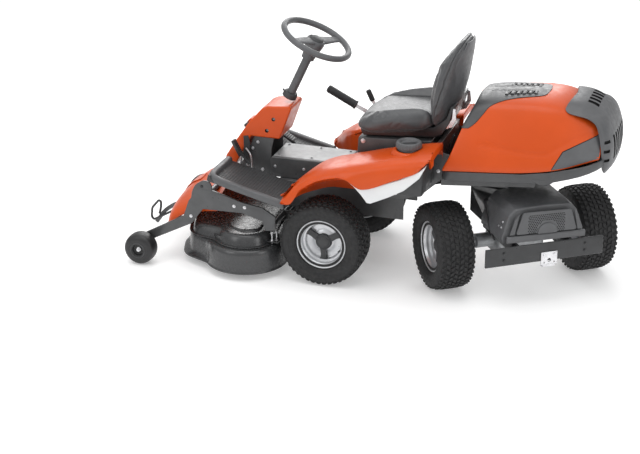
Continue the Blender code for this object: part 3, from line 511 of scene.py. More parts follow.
def cut(obj, cutters, inside=None, crossing=False):
    """Cuts meshes in the piece's own axes out of it; inside is the cut faces' finish."""
    bm = bmesh.new()
    for mesh in cutters:
        bm.from_mesh(mesh)
    tool_mesh = bpy.data.meshes.new("cutting_shape")
    bm.to_mesh(tool_mesh)
    bm.free()
    if inside:
        tool_mesh.materials.append(inside)
    tool = bpy.data.objects.new("cutting_shape", tool_mesh)
    bpy.context.scene.collection.objects.link(tool)
    tool.matrix_world = obj.matrix_world
    hole = obj.modifiers.new("holes", "BOOLEAN")
    hole.operation = "DIFFERENCE"
    hole.object = tool
    hole.use_self = crossing
    hole.material_mode = "TRANSFER" if inside else "INDEX"
    bpy.context.view_layer.update()
    bake(obj)
    bpy.data.objects.remove(tool)
    return obj


def rod(name, points, radius, finish, body, place=MACHINE, steps=8, closed=False, stands_for=()):
    """A bent wire or tube along a smooth line through its points."""
    line = smooth_line(points, steps, closed) if steps else list(points)
    curve = bpy.data.curves.new(name, "CURVE")
    curve.dimensions = "3D"
    curve.bevel_depth = radius
    curve.bevel_resolution = 4
    curve.use_fill_caps = not closed
    spline = curve.splines.new("POLY")
    spline.points.add(len(line) - 1)
    for point, where in zip(spline.points, line):
        point.co = (*where, 1)
    spline.use_cyclic_u = closed
    spline.use_smooth = True
    return piece(name, curve, finish, body, place, stands_for)


def softened(node, finish, width=0.0015, segments=2):
    """The CAD node's own shape with rounded edges and smooth shading."""
    bm = bmesh.new()
    bm.from_mesh(NODES[node].data)
    bmesh.ops.remove_doubles(bm, verts=bm.verts, dist=0.00002)
    bmesh.ops.dissolve_limit(bm, angle_limit=radians(1.5), verts=bm.verts, edges=bm.edges)
    mesh = to_mesh(f"{node}_look", bm)
    obj = piece(f"{node}_look", mesh, finish, NODES[node]["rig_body"], Matrix.Identity(4), (node,))
    return rounded(obj, width, segments, 38)


def bolts(name, spots, direction, radius, body, finish=None, place=MACHINE):
    """Hexagon heads on washers, all facing one way, as one piece."""
    bm = bmesh.new()
    turn = Vector(direction).to_track_quat("Z", "Y").to_matrix().to_4x4()
    for index, spot in enumerate(spots):
        where = Matrix.Translation(spot) @ turn @ Matrix.Rotation(0.7 * index, 4, "Z")
        for sides, size, low, high in ((20, 1.45, -0.15, 0.18), (6, 1.0, 0.1, 0.85),
                                       (16, 0.62, 0.85, 1.0)):
            bmesh.ops.create_cone(bm, cap_ends=True, segments=sides, radius1=radius * size,
                                  radius2=radius * size * 0.96, depth=radius * (high - low),
                                  matrix=where @ Matrix.Translation((0, 0, radius * (low + high) / 2)))
    mesh = bpy.data.meshes.new(name)
    bm.to_mesh(mesh)
    bm.free()
    return rounded(piece(name, mesh, finish or ZINC, body, place), radius * 0.08, 2)


# ---------------------------------------------------------------- tyres and rims

TREAD_EDGE = 0.078


def crown_radius(across):
    """Carcass radius at a distance across the tread from its middle."""
    return WHEEL_RADIUS - 0.0064 - 0.0125 * (abs(across) / TREAD_EDGE) ** 4


def tyre_profile():
    crown = [(crown_radius(z), z) for z in (0.0, 0.018, 0.036, 0.050, 0.060, 0.068, TREAD_EDGE)]
    side = smooth_line([crown[-1], (0.178, 0.0845), (0.162, 0.0870), (0.146, 0.0856),
                        (0.131, 0.0800), (0.1235, 0.0730)], 8)
    ribbed = [(r, z + 0.0014 * exp(-((r - 0.137) / 0.0016) ** 2)
               + 0.0012 * exp(-((r - 0.156) / 0.0018) ** 2)) for r, z in side]
    outer = crown[:-1] + ribbed + [(0.1215, 0.0640), (0.1010, 0.0620)]
    return [(r, -z) for r, z in reversed(outer[1:])] + outer


def tread_lug(bm, angle, across, size, skew, height):
    """One tread block: a tapered, slightly skewed brick standing on the crown."""
    radius = crown_radius(across)
    slope = 0.05 * (abs(across) / TREAD_EDGE) ** 3 / TREAD_EDGE * (1 if across > 0 else -1)
    lean = Vector((1.0, 0.0, slope)).normalized()
    rings = []
    for lift, taper in ((-0.003, 1.0), (height, 0.80)):
        ring = []
        for side, end in ((-1, -1), (1, -1), (1, 1), (-1, 1)):
            along = side * size[0] / 2 * taper + skew * end
            out = Vector((radius, 0.0, across)) + lean * lift
            out.z += end * size[1] / 2 * taper
            spot = Matrix.Rotation(angle + along / radius, 3, "Z") @ out
            ring.append(bm.verts.new(spot))
        rings.append(ring)
    bm.faces.new(rings[1])
    for k in range(4):
        bm.faces.new((rings[0][k], rings[0][(k + 1) % 4], rings[1][(k + 1) % 4], rings[1][k]))


def tyre_mesh():
    """Turf tyre: ribbed sidewalls and rows of staggered blocks with shoulder blocks."""
    carcass = turned("turf_tyre", tyre_profile(), 96, closed=True)
    bm = bmesh.new()
    bm.from_mesh(carcass)
    around = 44
    rows = [(0.0105, 0.0175, 0.0040), (0.0315, 0.0180, -0.0040), (0.0525, 0.0180, 0.0035),
            (0.0715, 0.0150, -0.0020)]
    for index, (across, width, skew) in enumerate(rows):
        for side in (-1, 1):
            for step in range(around):
                angle = 2 * pi * (step + 0.5 * (index % 2) + 0.25 * (side > 0)) / around
                length = 0.0195 if index < 3 else 0.0165
                tread_lug(bm, angle, side * across, (length, width), skew * side, 0.0058)
    bmesh.ops.recalc_face_normals(bm, faces=bm.faces[:])
    mesh = bpy.data.meshes.new("turf_tyre_mesh")
    bm.to_mesh(mesh)
    bm.free()
    mesh.materials.append(RUBBER)
    mesh.shade_smooth()
    mesh.set_sharp_from_angle(angle=radians(28))
    return mesh


def rim_mesh():
    """Pressed rim: rolled lip, stepped barrel and a dished centre."""
    face = [(0.1185, 0.0615), (0.1200, 0.0638), (0.1190, 0.0665), (0.1162, 0.0670),
            (0.1135, 0.0652), (0.1120, 0.0610), (0.1112, 0.0560), (0.1085, 0.0545),
            (0.1040, 0.0530), (0.1015, 0.0500), (0.1000, 0.0430), (0.0990, 0.0340),
            (0.0965, 0.0310), (0.0915, 0.0300), (0.0890, 0.0275), (0.0875, 0.0200),
            (0.0850, 0.0140), (0.0790, 0.0115), (0.0640, 0.0110), (0.0560, 0.0125),
            (0.0480, 0.0165), (0.0400, 0.0190), (0.0300, 0.0195), (0.0120, 0.0195)]
    back = [(0.0120, 0.0060), (0.0800, 0.0050), (0.0900, -0.0060), (0.0935, -0.0250),
            (0.0945, -0.0560), (0.1100, -0.0600), (0.1180, -0.0665), (0.1198, -0.0640),
            (0.1180, -0.0612), (0.1006, -0.0600), (0.1006, 0.0600)]
    mesh = turned("pressed_rim_mesh", smooth_line(face, 3) + back, 80, closed=True)
    mesh.materials.append(SILVER)
    return mesh


def hub_cover_mesh():
    """Dark three-spoke cover over the rim's centre, with a domed cap."""
    bm = bmesh.new()
    for turn in range(3):
        half = [(0.020, 0.0200), (0.045, 0.0150), (0.066, 0.0128), (0.080, 0.0150), (0.0868, 0.0190)]
        blade = [(r, -w) for r, w in half] + [(r, w) for r, w in reversed(half)]
        spoke = prism_into(bmesh.new(), "xy", blade, 0.014, 0.0285)
        bmesh.ops.rotate(spoke, cent=(0, 0, 0), matrix=Matrix.Rotation(2 * pi * turn / 3, 3, "Z"),
                         verts=spoke.verts)
        part = bpy.data.meshes.new("spoke")
        spoke.to_mesh(part)
        spoke.free()
        bm.from_mesh(part)
    cap = turned("cap", [(0.0, 0.0430), (0.012, 0.0426), (0.0225, 0.0405), (0.0290, 0.0370),
                         (0.0305, 0.0345), (0.0320, 0.0345), (0.0350, 0.0330), (0.0385, 0.0280),
                         (0.0395, 0.0200), (0.0395, 0.0140), (0.0, 0.0140)], 48)
    bm.from_mesh(cap)
    bmesh.ops.recalc_face_normals(bm, faces=bm.faces[:])
    mesh = bpy.data.meshes.new("hub_cover_mesh")
    bm.to_mesh(mesh)
    bm.free()
    mesh.materials.append(CHARCOAL)
    return mesh


def road_wheels():
    tyre_data, rim_data, cover_data = tyre_mesh(), rim_mesh(), hub_cover_mesh()
    stem = [(0.0875, 0.0, 0.016), (0.0860, 0.0, 0.030), (0.0850, 0.0, 0.040)]
    for where, base, track in (("front", MACHINE, FRONT_HALF_TRACK), ("rear", BOGIE, REAR_HALF_TRACK)):
        for side, hand in ((1, "left"), (-1, "right")):
            name = f"{where}_{hand}"
            body = f"{name}_wheel"
            outward = Matrix.Rotation(-pi / 2 * side, 4, "X")
            place = (base @ Matrix.Translation((0, side * track, WHEEL_RADIUS)) @ outward
                     @ Matrix.Rotation(radians(90), 4, "Z"))
            piece(f"{name}_turf_tyre", tyre_data, RUBBER, body, place, (f"{name}_tyre",), False)
            piece(f"{name}_pressed_rim", rim_data, SILVER, body, place, (f"{name}_rim",))
            rounded(piece(f"{name}_hub_cover", cover_data, CHARCOAL, body, place), 0.0022, 3)
            rod(f"{name}_valve_stem", stem, 0.0035, RUBBER, body,
                place @ Matrix.Rotation(radians(64), 4, "Z"), 3)


def gauge_wheels():
    """Small round-shouldered deck wheels with a hub recess, washer and bolt."""
    radius = middle("gauge_wheel_left").z
    profile = [(0.0085, 0.029), (0.0220, 0.029), (0.0250, 0.0315), (0.0270, 0.0400),
               (0.0300, 0.0435), (0.0400, 0.0450), (0.0540, 0.0440), (0.0650, 0.0400),
               (0.0725, 0.0310), (0.0758, 0.0180), (radius, 0.0)]
    full = smooth_line(profile, 4)
    full += [(r, -z) for r, z in reversed(full[:-1])]
    ring = [(0.0330, 0.0445), (0.0345, 0.0462), (0.0375, 0.0462), (0.0390, 0.0445)]
    for hand, side in (("left", 1), ("right", -1)):
        node = f"gauge_wheel_{hand}"
        place = Matrix.Translation(middle(node)) @ Matrix.Rotation(-pi / 2 * side, 4, "X")
        mesh = turned(f"{node}_mesh", full, 56, closed=True)
        piece(f"{node}_tread", mesh, WHEEL_BLACK, node, place, (node,))
        piece(f"{node}_ring", turned(f"{node}_ring_mesh", ring, 48, closed=True), CHARCOAL, node,
              place)
        washer = [(0.0, 0.0340), (0.0090, 0.0340), (0.0098, 0.0330), (0.0140, 0.0320),
                  (0.0145, 0.0290), (0.0, 0.0290)]
        piece(f"{node}_washer", turned(f"{node}_washer_mesh", washer, 32), ZINC, node, place)
        bolts(f"{node}_bolt", [(0, 0, 0.035)], (0, 0, 1), 0.0065, node, ZINC, place)


# ---------------------------------------------------------------- steering and console

def blade_rows(stations, count=16):
    """Closed oval rings along x: (x, half width, z middle, half thickness)."""
    rows = []
    for x, width, height, thick in stations:
        ring = []
        for k in range(count):
            a = 2 * pi * k / count
            c, s = cos(a), sin(a)
            ring.append((x, width * (abs(c) ** 0.7) * (1 if c > 0 else -1),
                         height + thick * (abs(s) ** 0.8) * (1 if s > 0 else -1)))
        rows.append(ring)
    return rows


def steering_wheel():
    body = "steering_wheel"
    radius = (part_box("steering_wheel")[1].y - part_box("steering_wheel")[0].y) / 2 - 0.0148
    section = [(radius + 0.0143 * cos(a) * (1 + 0.05 * cos(2 * a)), 0.0150 * sin(a))
               for a in (2 * pi * k / 24 for k in range(24))]
    rim = turned("steering_rim_mesh", section, 120, closed=True)
    piece("steering_rim", rim, GREY, body, COLUMN, ("steering_wheel",))
    for index, angle in enumerate((-117, 63)):
        turn = COLUMN @ Matrix.Rotation(radians(angle), 4, "Z")
        rows = blade_rows([(0.020, 0.030, -0.010, 0.012), (0.045, 0.031, -0.008, 0.0095),
                           (0.080, 0.027, -0.006, 0.0070), (0.115, 0.0225, -0.005, 0.0062),
                           (0.145, 0.0215, -0.004, 0.0068), (radius - 0.006, 0.0260, -0.002, 0.0075),
                           (radius, 0.0270, -0.001, 0.0070)])
        spoke = grid_mesh(f"steering_spoke_{index}_mesh", rows, around=True, caps=True)
        subdivided(piece(f"steering_spoke_{index}", spoke, GREY, body, turn), 1)
    boss = smooth_line([(0.0, -0.001), (0.0330, -0.001), (0.0375, 0.0015), (0.0420, -0.002),
                        (0.0455, -0.012), (0.0450, -0.026), (0.0395, -0.050), (0.0335, -0.078),
                        (0.0315, -0.1000), (0.0290, -0.1040), (0.0, -0.1040)], 4)
    piece("steering_boss", turned("steering_boss_mesh", boss, 56), GREY, body, COLUMN)
    cap = smooth_line([(0.0, 0.0125), (0.0140, 0.0118), (0.0250, 0.0090), (0.0300, 0.0050),
                       (0.0320, -0.0005), (0.0, -0.0010)], 4)
    piece("steering_hub_cap", turned("steering_hub_cap_mesh", cap, 56), CHARCOAL, body, COLUMN)
    ring = [(0.0190, 0.0108), (0.0200, 0.0116), (0.0210, 0.0106), (0.0200, 0.0095)]
    piece("steering_cap_ring", turned("steering_cap_ring_mesh", ring, 56, closed=True), GREY, body,
          COLUMN)
    column = [(0.0, -0.104), (0.0200, -0.104), (0.0208, -0.106), (0.0208, -0.327), (0.0, -0.327)]
    rounded(piece("column_tube_look", turned("column_tube_mesh", column, 48), GREY, "chassis", COLUMN,
                  ("column_tube",)), 0.001)
    collar = smooth_line([(0.0215, -0.296), (0.0290, -0.297), (0.0335, -0.303), (0.0350, -0.312),
                          (0.0360, -0.324)], 5)
    collar = thickened(piece("column_collar", turned("column_collar_mesh", collar, 48), CHARCOAL,
                             "chassis", COLUMN), 0.002)
    lever = [(-0.016, -0.020, -0.306), (-0.032, -0.024, -0.298), (-0.040, -0.024, -0.294)]
    rod("column_release_lever", lever, 0.0045, CHARCOAL, "chassis", COLUMN @ Matrix.Rotation(pi, 4, "Z"))


TOWER = [(0.4500, 0.590), (0.5350, 0.430), (0.5850, 0.452), (0.5800, 0.478), (0.5250, 0.565),
         (0.4620, 0.657), (0.3950, 0.733), (0.3700, 0.745), (0.2600, 0.755), (0.2480, 0.744),
         (0.3050, 0.590)]


def console():
    """Orange tower with tapered cheeks, screw pockets and a front fin, on a bolted grey stand."""
    bm = prism_into(bmesh.new(), "xz", TOWER, -0.0965, 0.0965)
    for corner in bm.verts:
        height = min(max((corner.co.z - 0.56) / 0.195, 0.0), 1.0)
        corner.co.y *= 1 - 0.10 * height ** 1.5
    tower = piece("console_shell", to_mesh("console_shell_mesh", bm), ORANGE, "chassis",
                  stands_for=("console_tower",))
    rounded(tower, 0.017, 5, 30)
    bake(tower)
    pockets = []
    screws = [(0.336, 0.685), (0.369, 0.626)]
    for x, z in screws:
        for side in (-1, 1):
            pocket = bmesh.new()
            bmesh.ops.create_cone(pocket, cap_ends=True, segments=28, radius1=0.0095, radius2=0.0095,
                                  depth=0.030, matrix=Matrix.Translation((x, side * 0.098, z))
                                  @ Matrix.Rotation(pi / 2, 4, "X"))
            mesh = bpy.data.meshes.new("pocket")
            pocket.to_mesh(mesh)
            pockets.append(mesh)
    cut(tower, pockets, SHADOW)
    for side in (-1, 1):
        bolts(f"console_screw_{'left' if side > 0 else 'right'}",
              [(x, side * 0.0835, z) for x, z in screws], (0, side, 0), 0.0045, "chassis", CAST)
    fin = [(0.462, 0.652), (0.4780, 0.6560), (0.4960, 0.6360), (0.5060, 0.6040), (0.4900, 0.6080)]
    rounded(piece("console_fin", prism("console_fin_mesh", "xz", fin, -0.030, 0.030), ORANGE,
                  "chassis"), 0.006, 4)
    tab = [(0.478, 0.636), (0.4880, 0.6420), (0.4990, 0.6300), (0.4940, 0.6180)]
    rounded(piece("console_tab", prism("console_tab_mesh", "xz", tab, 0.030, 0.062), CHARCOAL,
                  "chassis"), 0.003, 3)
    softened("console_frame", DARK_STEEL, 0.004, 3)
    stand_bolts = [(0.418, 0.0868, 0.561), (0.444, 0.0868, 0.527), (0.470, 0.0868, 0.440),
                   (0.395, 0.0868, 0.425)]
    for side, hand in ((1, "left"), (-1, "right")):
        bolts(f"stand_bolts_{hand}", [(x, side * y, z) for x, y, z in stand_bolts], (0, side, 0),
              0.0058, "chassis")


def pedal_rods():
    """Bent bright rods of the brake linkage beside the tower, and the brake's black arm."""
    rod("brake_link_front", [(0.512, 0.112, 0.535), (0.498, 0.114, 0.524), (0.491, 0.114, 0.495),
                             (0.500, 0.112, 0.452)], 0.0042, ZINC, "chassis")
    rod("brake_link_rear", [(0.472, 0.108, 0.532), (0.450, 0.110, 0.505), (0.441, 0.110, 0.470),
                            (0.440, 0.108, 0.432)], 0.0042, ZINC, "chassis")
    latch = [(0.486, 0.590), (0.462, 0.594), (0.452, 0.560), (0.455, 0.512), (0.470, 0.480),
             (0.490, 0.480), (0.484, 0.540)]
    rounded(piece("parking_latch", prism("parking_latch_mesh", "xz", latch, 0.0975, 0.1035), CHARCOAL,
                  "chassis"), 0.002, 3)


# ---------------------------------------------------------------- floor of the operator's place

def tunnel():
    low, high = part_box("tunnel_cover")
    front, rear, half, top = high.x - AXLE_X, low.x - AXLE_X, high.y, high.z
    side_profile = [(front, 0.4005), (front, top - 0.012), (front - 0.010, top - 0.002),
                    (rear + 0.014, top - 0.002), (rear, top - 0.034), (rear, 0.4005)]
    sides = prism("tunnel_sides_mesh", "xz", side_profile, -half, half)
    rounded(piece("tunnel_sides", sides, DARK_STEEL, "chassis", stands_for=("tunnel_cover",)), 0.006,
            4)
    plate = [(front - 0.012, -0.092), (front - 0.012, 0.092), (rear + 0.030, 0.092),
             (rear + 0.030, -0.092)]
    rounded(piece("tunnel_top_plate", prism("tunnel_top_mesh", "xy", plate, top - 0.0035, top),
                  PALE_GREY, "chassis"), 0.0016, 3)
    bolts("tunnel_bolts", [(x, side * 0.072, top) for x in (front - 0.035, 0.150, rear + 0.055)
                           for side in (-1, 1)], (0, 0, 1), 0.005, "chassis", CAST)
    for side, hand in ((1, "left"), (-1, "right")):
        bolts(f"tunnel_side_bolts_{hand}", [(x, side * half, 0.455) for x in (0.325, 0.180, 0.030)],
              (0, side, 0), 0.0055, "chassis")


def footplates():
    """Sloped foot boards: a thick pale-edged frame round a ribbed rubber mat."""
    for side, hand in ((1, "left"), (-1, "right")):
        node = f"footplate_{hand}"
        board = [(0.178, 0.366), (0.548, 0.456), (0.5595, 0.462), (0.552, 0.4915), (0.540, 0.487),
                 (0.536, 0.470), (0.178, 0.382)]
        low, high = sorted((side * 0.1306, side * 0.400))
        rounded(piece(f"{node}_board", prism(f"{node}_board_mesh", "xz", board, low, high), CHARCOAL,
                      "chassis", stands_for=(node,)), 0.003, 3)
        rail_line = smooth_line([(0.180, side * 0.3900, 0.385), (0.300, side * 0.3905, 0.415),
                                 (0.430, side * 0.3905, 0.448), (0.503, side * 0.3880, 0.467),
                                 (0.537, side * 0.3740, 0.477), (0.545, side * 0.3350, 0.4795),
                                 (0.545, side * 0.2500, 0.4795), (0.544, side * 0.1450, 0.4795)], 6)
        rows = []
        for k, (x, y, z) in enumerate(rail_line):
            before, after = rail_line[max(k - 1, 0)], rail_line[min(k + 1, len(rail_line) - 1)]
            along = Vector(after) - Vector(before)
            across = Vector((along.y, -along.x, 0)).normalized() * side
            up = Vector((0, 0, 1))
            ring = []
            for step in range(16):
                a = 2 * pi * step / 16
                c, s = cos(a), sin(a)
                spread = 0.0165 * abs(c) ** 0.55 * (1 if c > 0 else -1)
                rise = 0.0180 * abs(s) ** 0.55 * (1 if s > 0 else -1)
                ring.append(Vector((x, y, z - 0.004)) + across * spread + up * rise)
            rows.append(ring)
        rail = grid_mesh(f"{node}_rail_mesh", rows, around=True, caps=True)
        piece(f"{node}_rail", rail, GREY, "chassis")
        bm = bmesh.new()
        low, high = sorted((side * 0.140, side * 0.374))
        ribs = 26
        for rib in range(ribs):
            x = 0.192 + rib * (0.534 - 0.192) / ribs
            z = 0.382 + (x - 0.178) * (0.088 / 0.358)
            section = [(x, z - 0.002), (x + 0.0100, z + 0.0005), (x + 0.0094, z + 0.0036),
                       (x + 0.0012, z + 0.0018)]
            prism_into(bm, "xz", section, low, high)
        ribs_mesh = bpy.data.meshes.new(f"{node}_mat_mesh")
        bmesh.ops.recalc_face_normals(bm, faces=bm.faces[:])
        bm.to_mesh(ribs_mesh)
        bm.free()
        rounded(piece(f"{node}_mat", ribs_mesh, MAT, "chassis"), 0.0009, 2)


# ---------------------------------------------------------------- fenders and side panels

FENDER_TOP = [(0.185, 0.434), (0.125, 0.498), (0.050, 0.553), (-0.030, 0.587), (-0.120, 0.614),
              (-0.300, 0.662), (-0.420, 0.690), (-0.515, 0.708)]
FENDER_LOW = [(0.185, 0.408), (0.135, 0.410), (0.090, 0.480), (0.000, 0.536), (-0.120, 0.562),
              (-0.206, 0.524), (-0.380, 0.592), (-0.460, 0.630), (-0.515, 0.686)]
FENDER_INNER = [(0.185, 0.385), (0.060, 0.235), (0.000, 0.195), (-0.515, 0.195)]
FUEL_CAP = (-0.385, 0.290)


def fender_row(x, side):
    """Inner wall, rounded inner edge, crowned top, rounded shoulder and outer skirt at one x."""
    top, low, inner = (smooth_value(x, table) for table in (FENDER_TOP, FENDER_LOW, FENDER_INNER))
    outer = FENDER_SIDE - 0.0005
    reach = outer - inner
    tuck = 0.070 * swell(-x, 0.430, 0.560)
    deep = min(0.425 - 0.08 * max(0.0, x), low)
    foot = deep + (top - 0.062 - deep) * swell(-x, 0.130, 0.230)
    points = [(inner, foot), (inner, top - 0.040), (inner + 0.003, top - 0.016),
              (inner + 0.014, top - 0.002), (inner + 0.30 * reach, top + 0.002),
              (inner + 0.62 * reach, top), (outer - 0.048, top - 0.006),
              (outer - 0.021, top - 0.018), (outer - 0.006, top - 0.042)]
    points[1:] = [(y, max(z, low + 0.0018 * (9 - k))) for k, (y, z) in enumerate(points[1:], 1)]
    edge = min(low, points[-1][1] - 0.002)
    points += [(outer - tuck * 0.5, edge + 0.35 * (points[-1][1] - edge)), (outer - tuck, edge),
               (outer - tuck - 0.010, edge + 0.001)]
    return [(x, side * y, z) for y, z in smooth_line(points, 4)]


def fenders():
    front, rear, count = 0.184, -0.515, 56
    stations = [front + (rear - front) * k / count for k in range(count + 1)]
    for side, hand in ((1, "left"), (-1, "right")):
        node = f"fender_{hand}"
        rows = [fender_row(x, side) for x in stations]
        for back, drop in ((0.0030, 0.004), (0.0045, 0.012), (0.0050, 0.030)):
            rows.append([(x - back, y, z - drop) for x, y, z in rows[count]])
        mesh = skin_mesh(f"{node}_skin", rows, (-0.15, side * 0.30, 0.30))
        skin = thickened(piece(f"{node}_shell", mesh, ORANGE, "chassis", stands_for=(node,)), 0.0038)
        bake(skin)
        if side > 0:
            hole = turned("filler_hole", [(0.0, 0.60), (0.0500, 0.60), (0.0500, 0.75), (0.0, 0.75)],
                          40)
            hole.transform(Matrix.Translation((*FUEL_CAP, 0)))
            cut(skin, [hole], crossing=True)
        else:
            slots = [slab("lift_slot", (-0.235, -0.259, 0.55), (-0.020, -0.241, 0.75)),
                     slab("height_slot", (-0.175, -0.309, 0.55), (-0.020, -0.291, 0.75)),
                     slab("throttle_slot", (-0.395, -0.345, 0.55), (-0.295, -0.335, 0.75))]
            key = turned("key_hole", [(0.0, 0.60), (0.0095, 0.60), (0.0095, 0.75), (0.0, 0.75)], 24)
            key.transform(Matrix.Translation((-0.445, -0.300, 0)))
            cut(skin, slots + [key], crossing=True)
        rounded(skin, 0.0012, 2, 50)
        panel = [(-0.125, 0.558), (-0.206, 0.520), (-0.300, 0.5545), (-0.380, 0.588),
                 (-0.470, 0.636), (-0.504, 0.670), (-0.470, 0.602), (-0.400, 0.536), (-0.330, 0.496),
                 (-0.285, 0.474), (-0.245, 0.455), (-0.228, 0.4565), (-0.222, 0.464),
                 (-0.200, 0.492), (-0.165, 0.528)]
        low, high = sorted((side * 0.404, side * 0.4245))
        mesh = prism(f"side_panel_{hand}_mesh", "xz", panel, low, high)
        rounded(piece(f"side_panel_{hand}_skin", mesh, WHITE, "chassis",
                      stands_for=(f"side_panel_{hand}",)), 0.0055, 4, 50)
    top = smooth_value(FUEL_CAP[0], FENDER_TOP)
    collar = smooth_line([(0.0505, top - 0.024), (0.0505, top - 0.002), (0.0560, top + 0.0050),
                          (0.0640, top + 0.0055), (0.0720, top + 0.0010), (0.0780, top - 0.008),
                          (0.0800, top - 0.020)], 4)
    where = MACHINE @ Matrix.Translation((*FUEL_CAP, 0))
    ring = piece("filler_collar", turned("filler_collar_mesh", collar, 64), ORANGE, "chassis", where)
    thickened(ring, 0.003)


def fuel_cap():
    """Screw cap with a gripped skirt and a dished, raised grip bar on top."""
    bm = bmesh.new()
    outline = smooth_line([(0.0, 0.0250), (0.0260, 0.0250), (0.0340, 0.0270), (0.0400, 0.0330),
                           (0.0480, 0.0355), (0.0550, 0.0330), (0.0590, 0.0260), (0.0600, 0.0150),
                           (0.0590, 0.0090), (0.0480, 0.0084), (0.0478, -0.0060), (0.0, -0.0060)], 4)
    rows = []
    for radius, height in outline:
        grip = 0.0011 if radius > 0.054 and height < 0.031 else 0.0
        rows.append([((radius + grip * cos(24 * a) - grip) * cos(a),
                      (radius + grip * cos(24 * a) - grip) * sin(a), height)
                     for a in (2 * pi * k / 144 for k in range(144))])
    grid(bm, rows, around=True)
    bmesh.ops.dissolve_degenerate(bm, dist=0.00001, edges=bm.edges[:])
    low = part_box("fuel_cap")[0].z + 0.006
    where = MACHINE @ Matrix.Translation((*FUEL_CAP, low))
    piece("fuel_cap_shell", to_mesh("fuel_cap_mesh", bm), GREY, "fuel_cap", where, ("fuel_cap",))
    bar = [(-0.036, 0.0225), (-0.036, 0.0300), (-0.028, 0.0345), (0.028, 0.0345), (0.036, 0.0300),
           (0.036, 0.0225)]
    rounded(piece("fuel_cap_grip", prism("fuel_cap_grip_mesh", "xz", bar, -0.0065, 0.0065), GREY,
                  "fuel_cap", where @ Matrix.Rotation(radians(25), 4, "Z")), 0.0035, 3)
    softened("fuel_tank", CHARCOAL, 0.003)


# ---------------------------------------------------------------- seat

CUSHION_FRONT, CUSHION_REAR, CUSHION_HALF = -0.080, -0.468, 0.209
CUSHION_TOP = [(-0.086, 0.752), (-0.131, 0.772), (-0.174, 0.784), (-0.250, 0.790), (-0.380, 0.796),
               (-0.466, 0.800)]
BOLSTER_TOP = [(-0.086, 0.762), (-0.131, 0.786), (-0.180, 0.808), (-0.270, 0.832), (-0.370, 0.852),
               (-0.466, 0.868)]
CUSHION_FOOT = [(-0.086, 0.702), (-0.180, 0.700), (-0.300, 0.716), (-0.420, 0.738), (-0.466, 0.746)]
SEAT_BACK_LINE = [(0.740, -0.478), (0.800, -0.478), (0.870, -0.476), (0.940, -0.480),
                  (1.000, -0.493), (1.060, -0.510), (1.120, -0.532), (1.157, -0.549)]
SHELL_LINE = [(0.740, -0.520), (0.800, -0.537), (0.860, -0.5525), (0.950, -0.574), (1.040, -0.588),
              (1.120, -0.597), (1.150, -0.596)]


def swell(share, low, high):
    """0 below low, 1 above high, and a smooth rise between."""
    t = min(max((share - low) / (high - low), 0.0), 1.0)
    return t * t * (3 - 2 * t)


def corner_radius_plan(angle, front, rear, half, power):
    """Distance from the middle to a rounded-rectangle outline at an angle."""
    reach = (front - rear) / 2
    c, s = abs(cos(angle)) / reach, abs(sin(angle)) / half
    return (c ** power + s ** power) ** (-1 / power)


def pad_mesh(name, surface, rings=14, around=96):
    """A closed pad: surface(r, angle, upper) gives a point for r from 0 in the middle to 1."""
    bm = bmesh.new()
    steps = [sin(pi / 2 * k / rings) for k in range(rings + 1)]
    radii = [(r, True) for r in steps] + [(r, False) for r in reversed(steps[:-1])]
    rows = [[surface(r, 2 * pi * k / around, upper) for k in range(around)] for r, upper in radii]
    grid(bm, rows, around=True)
    bmesh.ops.dissolve_degenerate(bm, dist=0.00002, edges=bm.edges[:])
    return to_mesh(name, bm)


def cushion_point(r, angle, upper):
    """Seat pad: raised side bolsters, a soft waterfall front and thick, bulging sides."""
    power = 3.8 if cos(angle) > 0 else 5.5
    reach = corner_radius_plan(angle, CUSHION_FRONT, CUSHION_REAR, CUSHION_HALF, power) * r
    x = (CUSHION_FRONT + CUSHION_REAR) / 2 + reach * cos(angle)
    along = (CUSHION_FRONT - x) / (CUSHION_FRONT - CUSHION_REAR)
    y = reach * sin(angle) * (1 - 0.018 * sin(pi * min(max(along, 0.0), 1.0)))
    low, middle_top, side_top = (smooth_value(x, table) for table in (CUSHION_FOOT, CUSHION_TOP,
                                                                       BOLSTER_TOP))
    top = middle_top + (side_top - middle_top) * swell(abs(y), 0.105, 0.172)
    waist = low + 0.42 * (top - low)
    edge = (1 - r ** 4.2) ** (1 / 3.0)
    return (x, y, waist + ((top - waist) if upper else (low - waist)) * edge)


def line_at(z, table):
    """Reads a (z, x) table with rising z."""
    return smooth_value(z, table[::-1])


def back_half_width(z):
    """Half the width of the backrest at a height."""
    return smooth_value(z, [(1.157, 0.172), (1.100, 0.184), (1.030, 0.196), (0.940, 0.203),
                            (0.860, 0.203), (0.740, 0.196)])


def back_hollow(y):
    """How far the back of the seat comes forward to the sides of its middle."""
    return 1.35 * y * y


def back_point(r, angle, upper):
    """Backrest pad in the plane of the back: a dished front between two forward wings."""
    low, high = 0.744, 1.157
    mid, tall = (low + high) / 2, (high - low) / 2
    power = 3.9 if cos(angle) > 0 else 5.5
    reach = (abs(cos(angle) / tall) ** power + abs(sin(angle)) ** power) ** (-1 / power) * r
    z = mid + reach * cos(angle)
    y = reach * sin(angle) * back_half_width(z)
    wing = 0.027 * swell(abs(y), 0.060, 0.165) * (1 - 0.6 * swell(z, 1.04, 1.15))
    front = line_at(z, SEAT_BACK_LINE) + wing
    rear = line_at(z, SHELL_LINE) + back_hollow(y) + 0.004
    centre, half = (front + rear) / 2, (front - rear) / 2
    edge = (1 - r ** 4.5) ** (1 / 2.8)
    return (centre + (half if upper else -half) * edge, y, z)


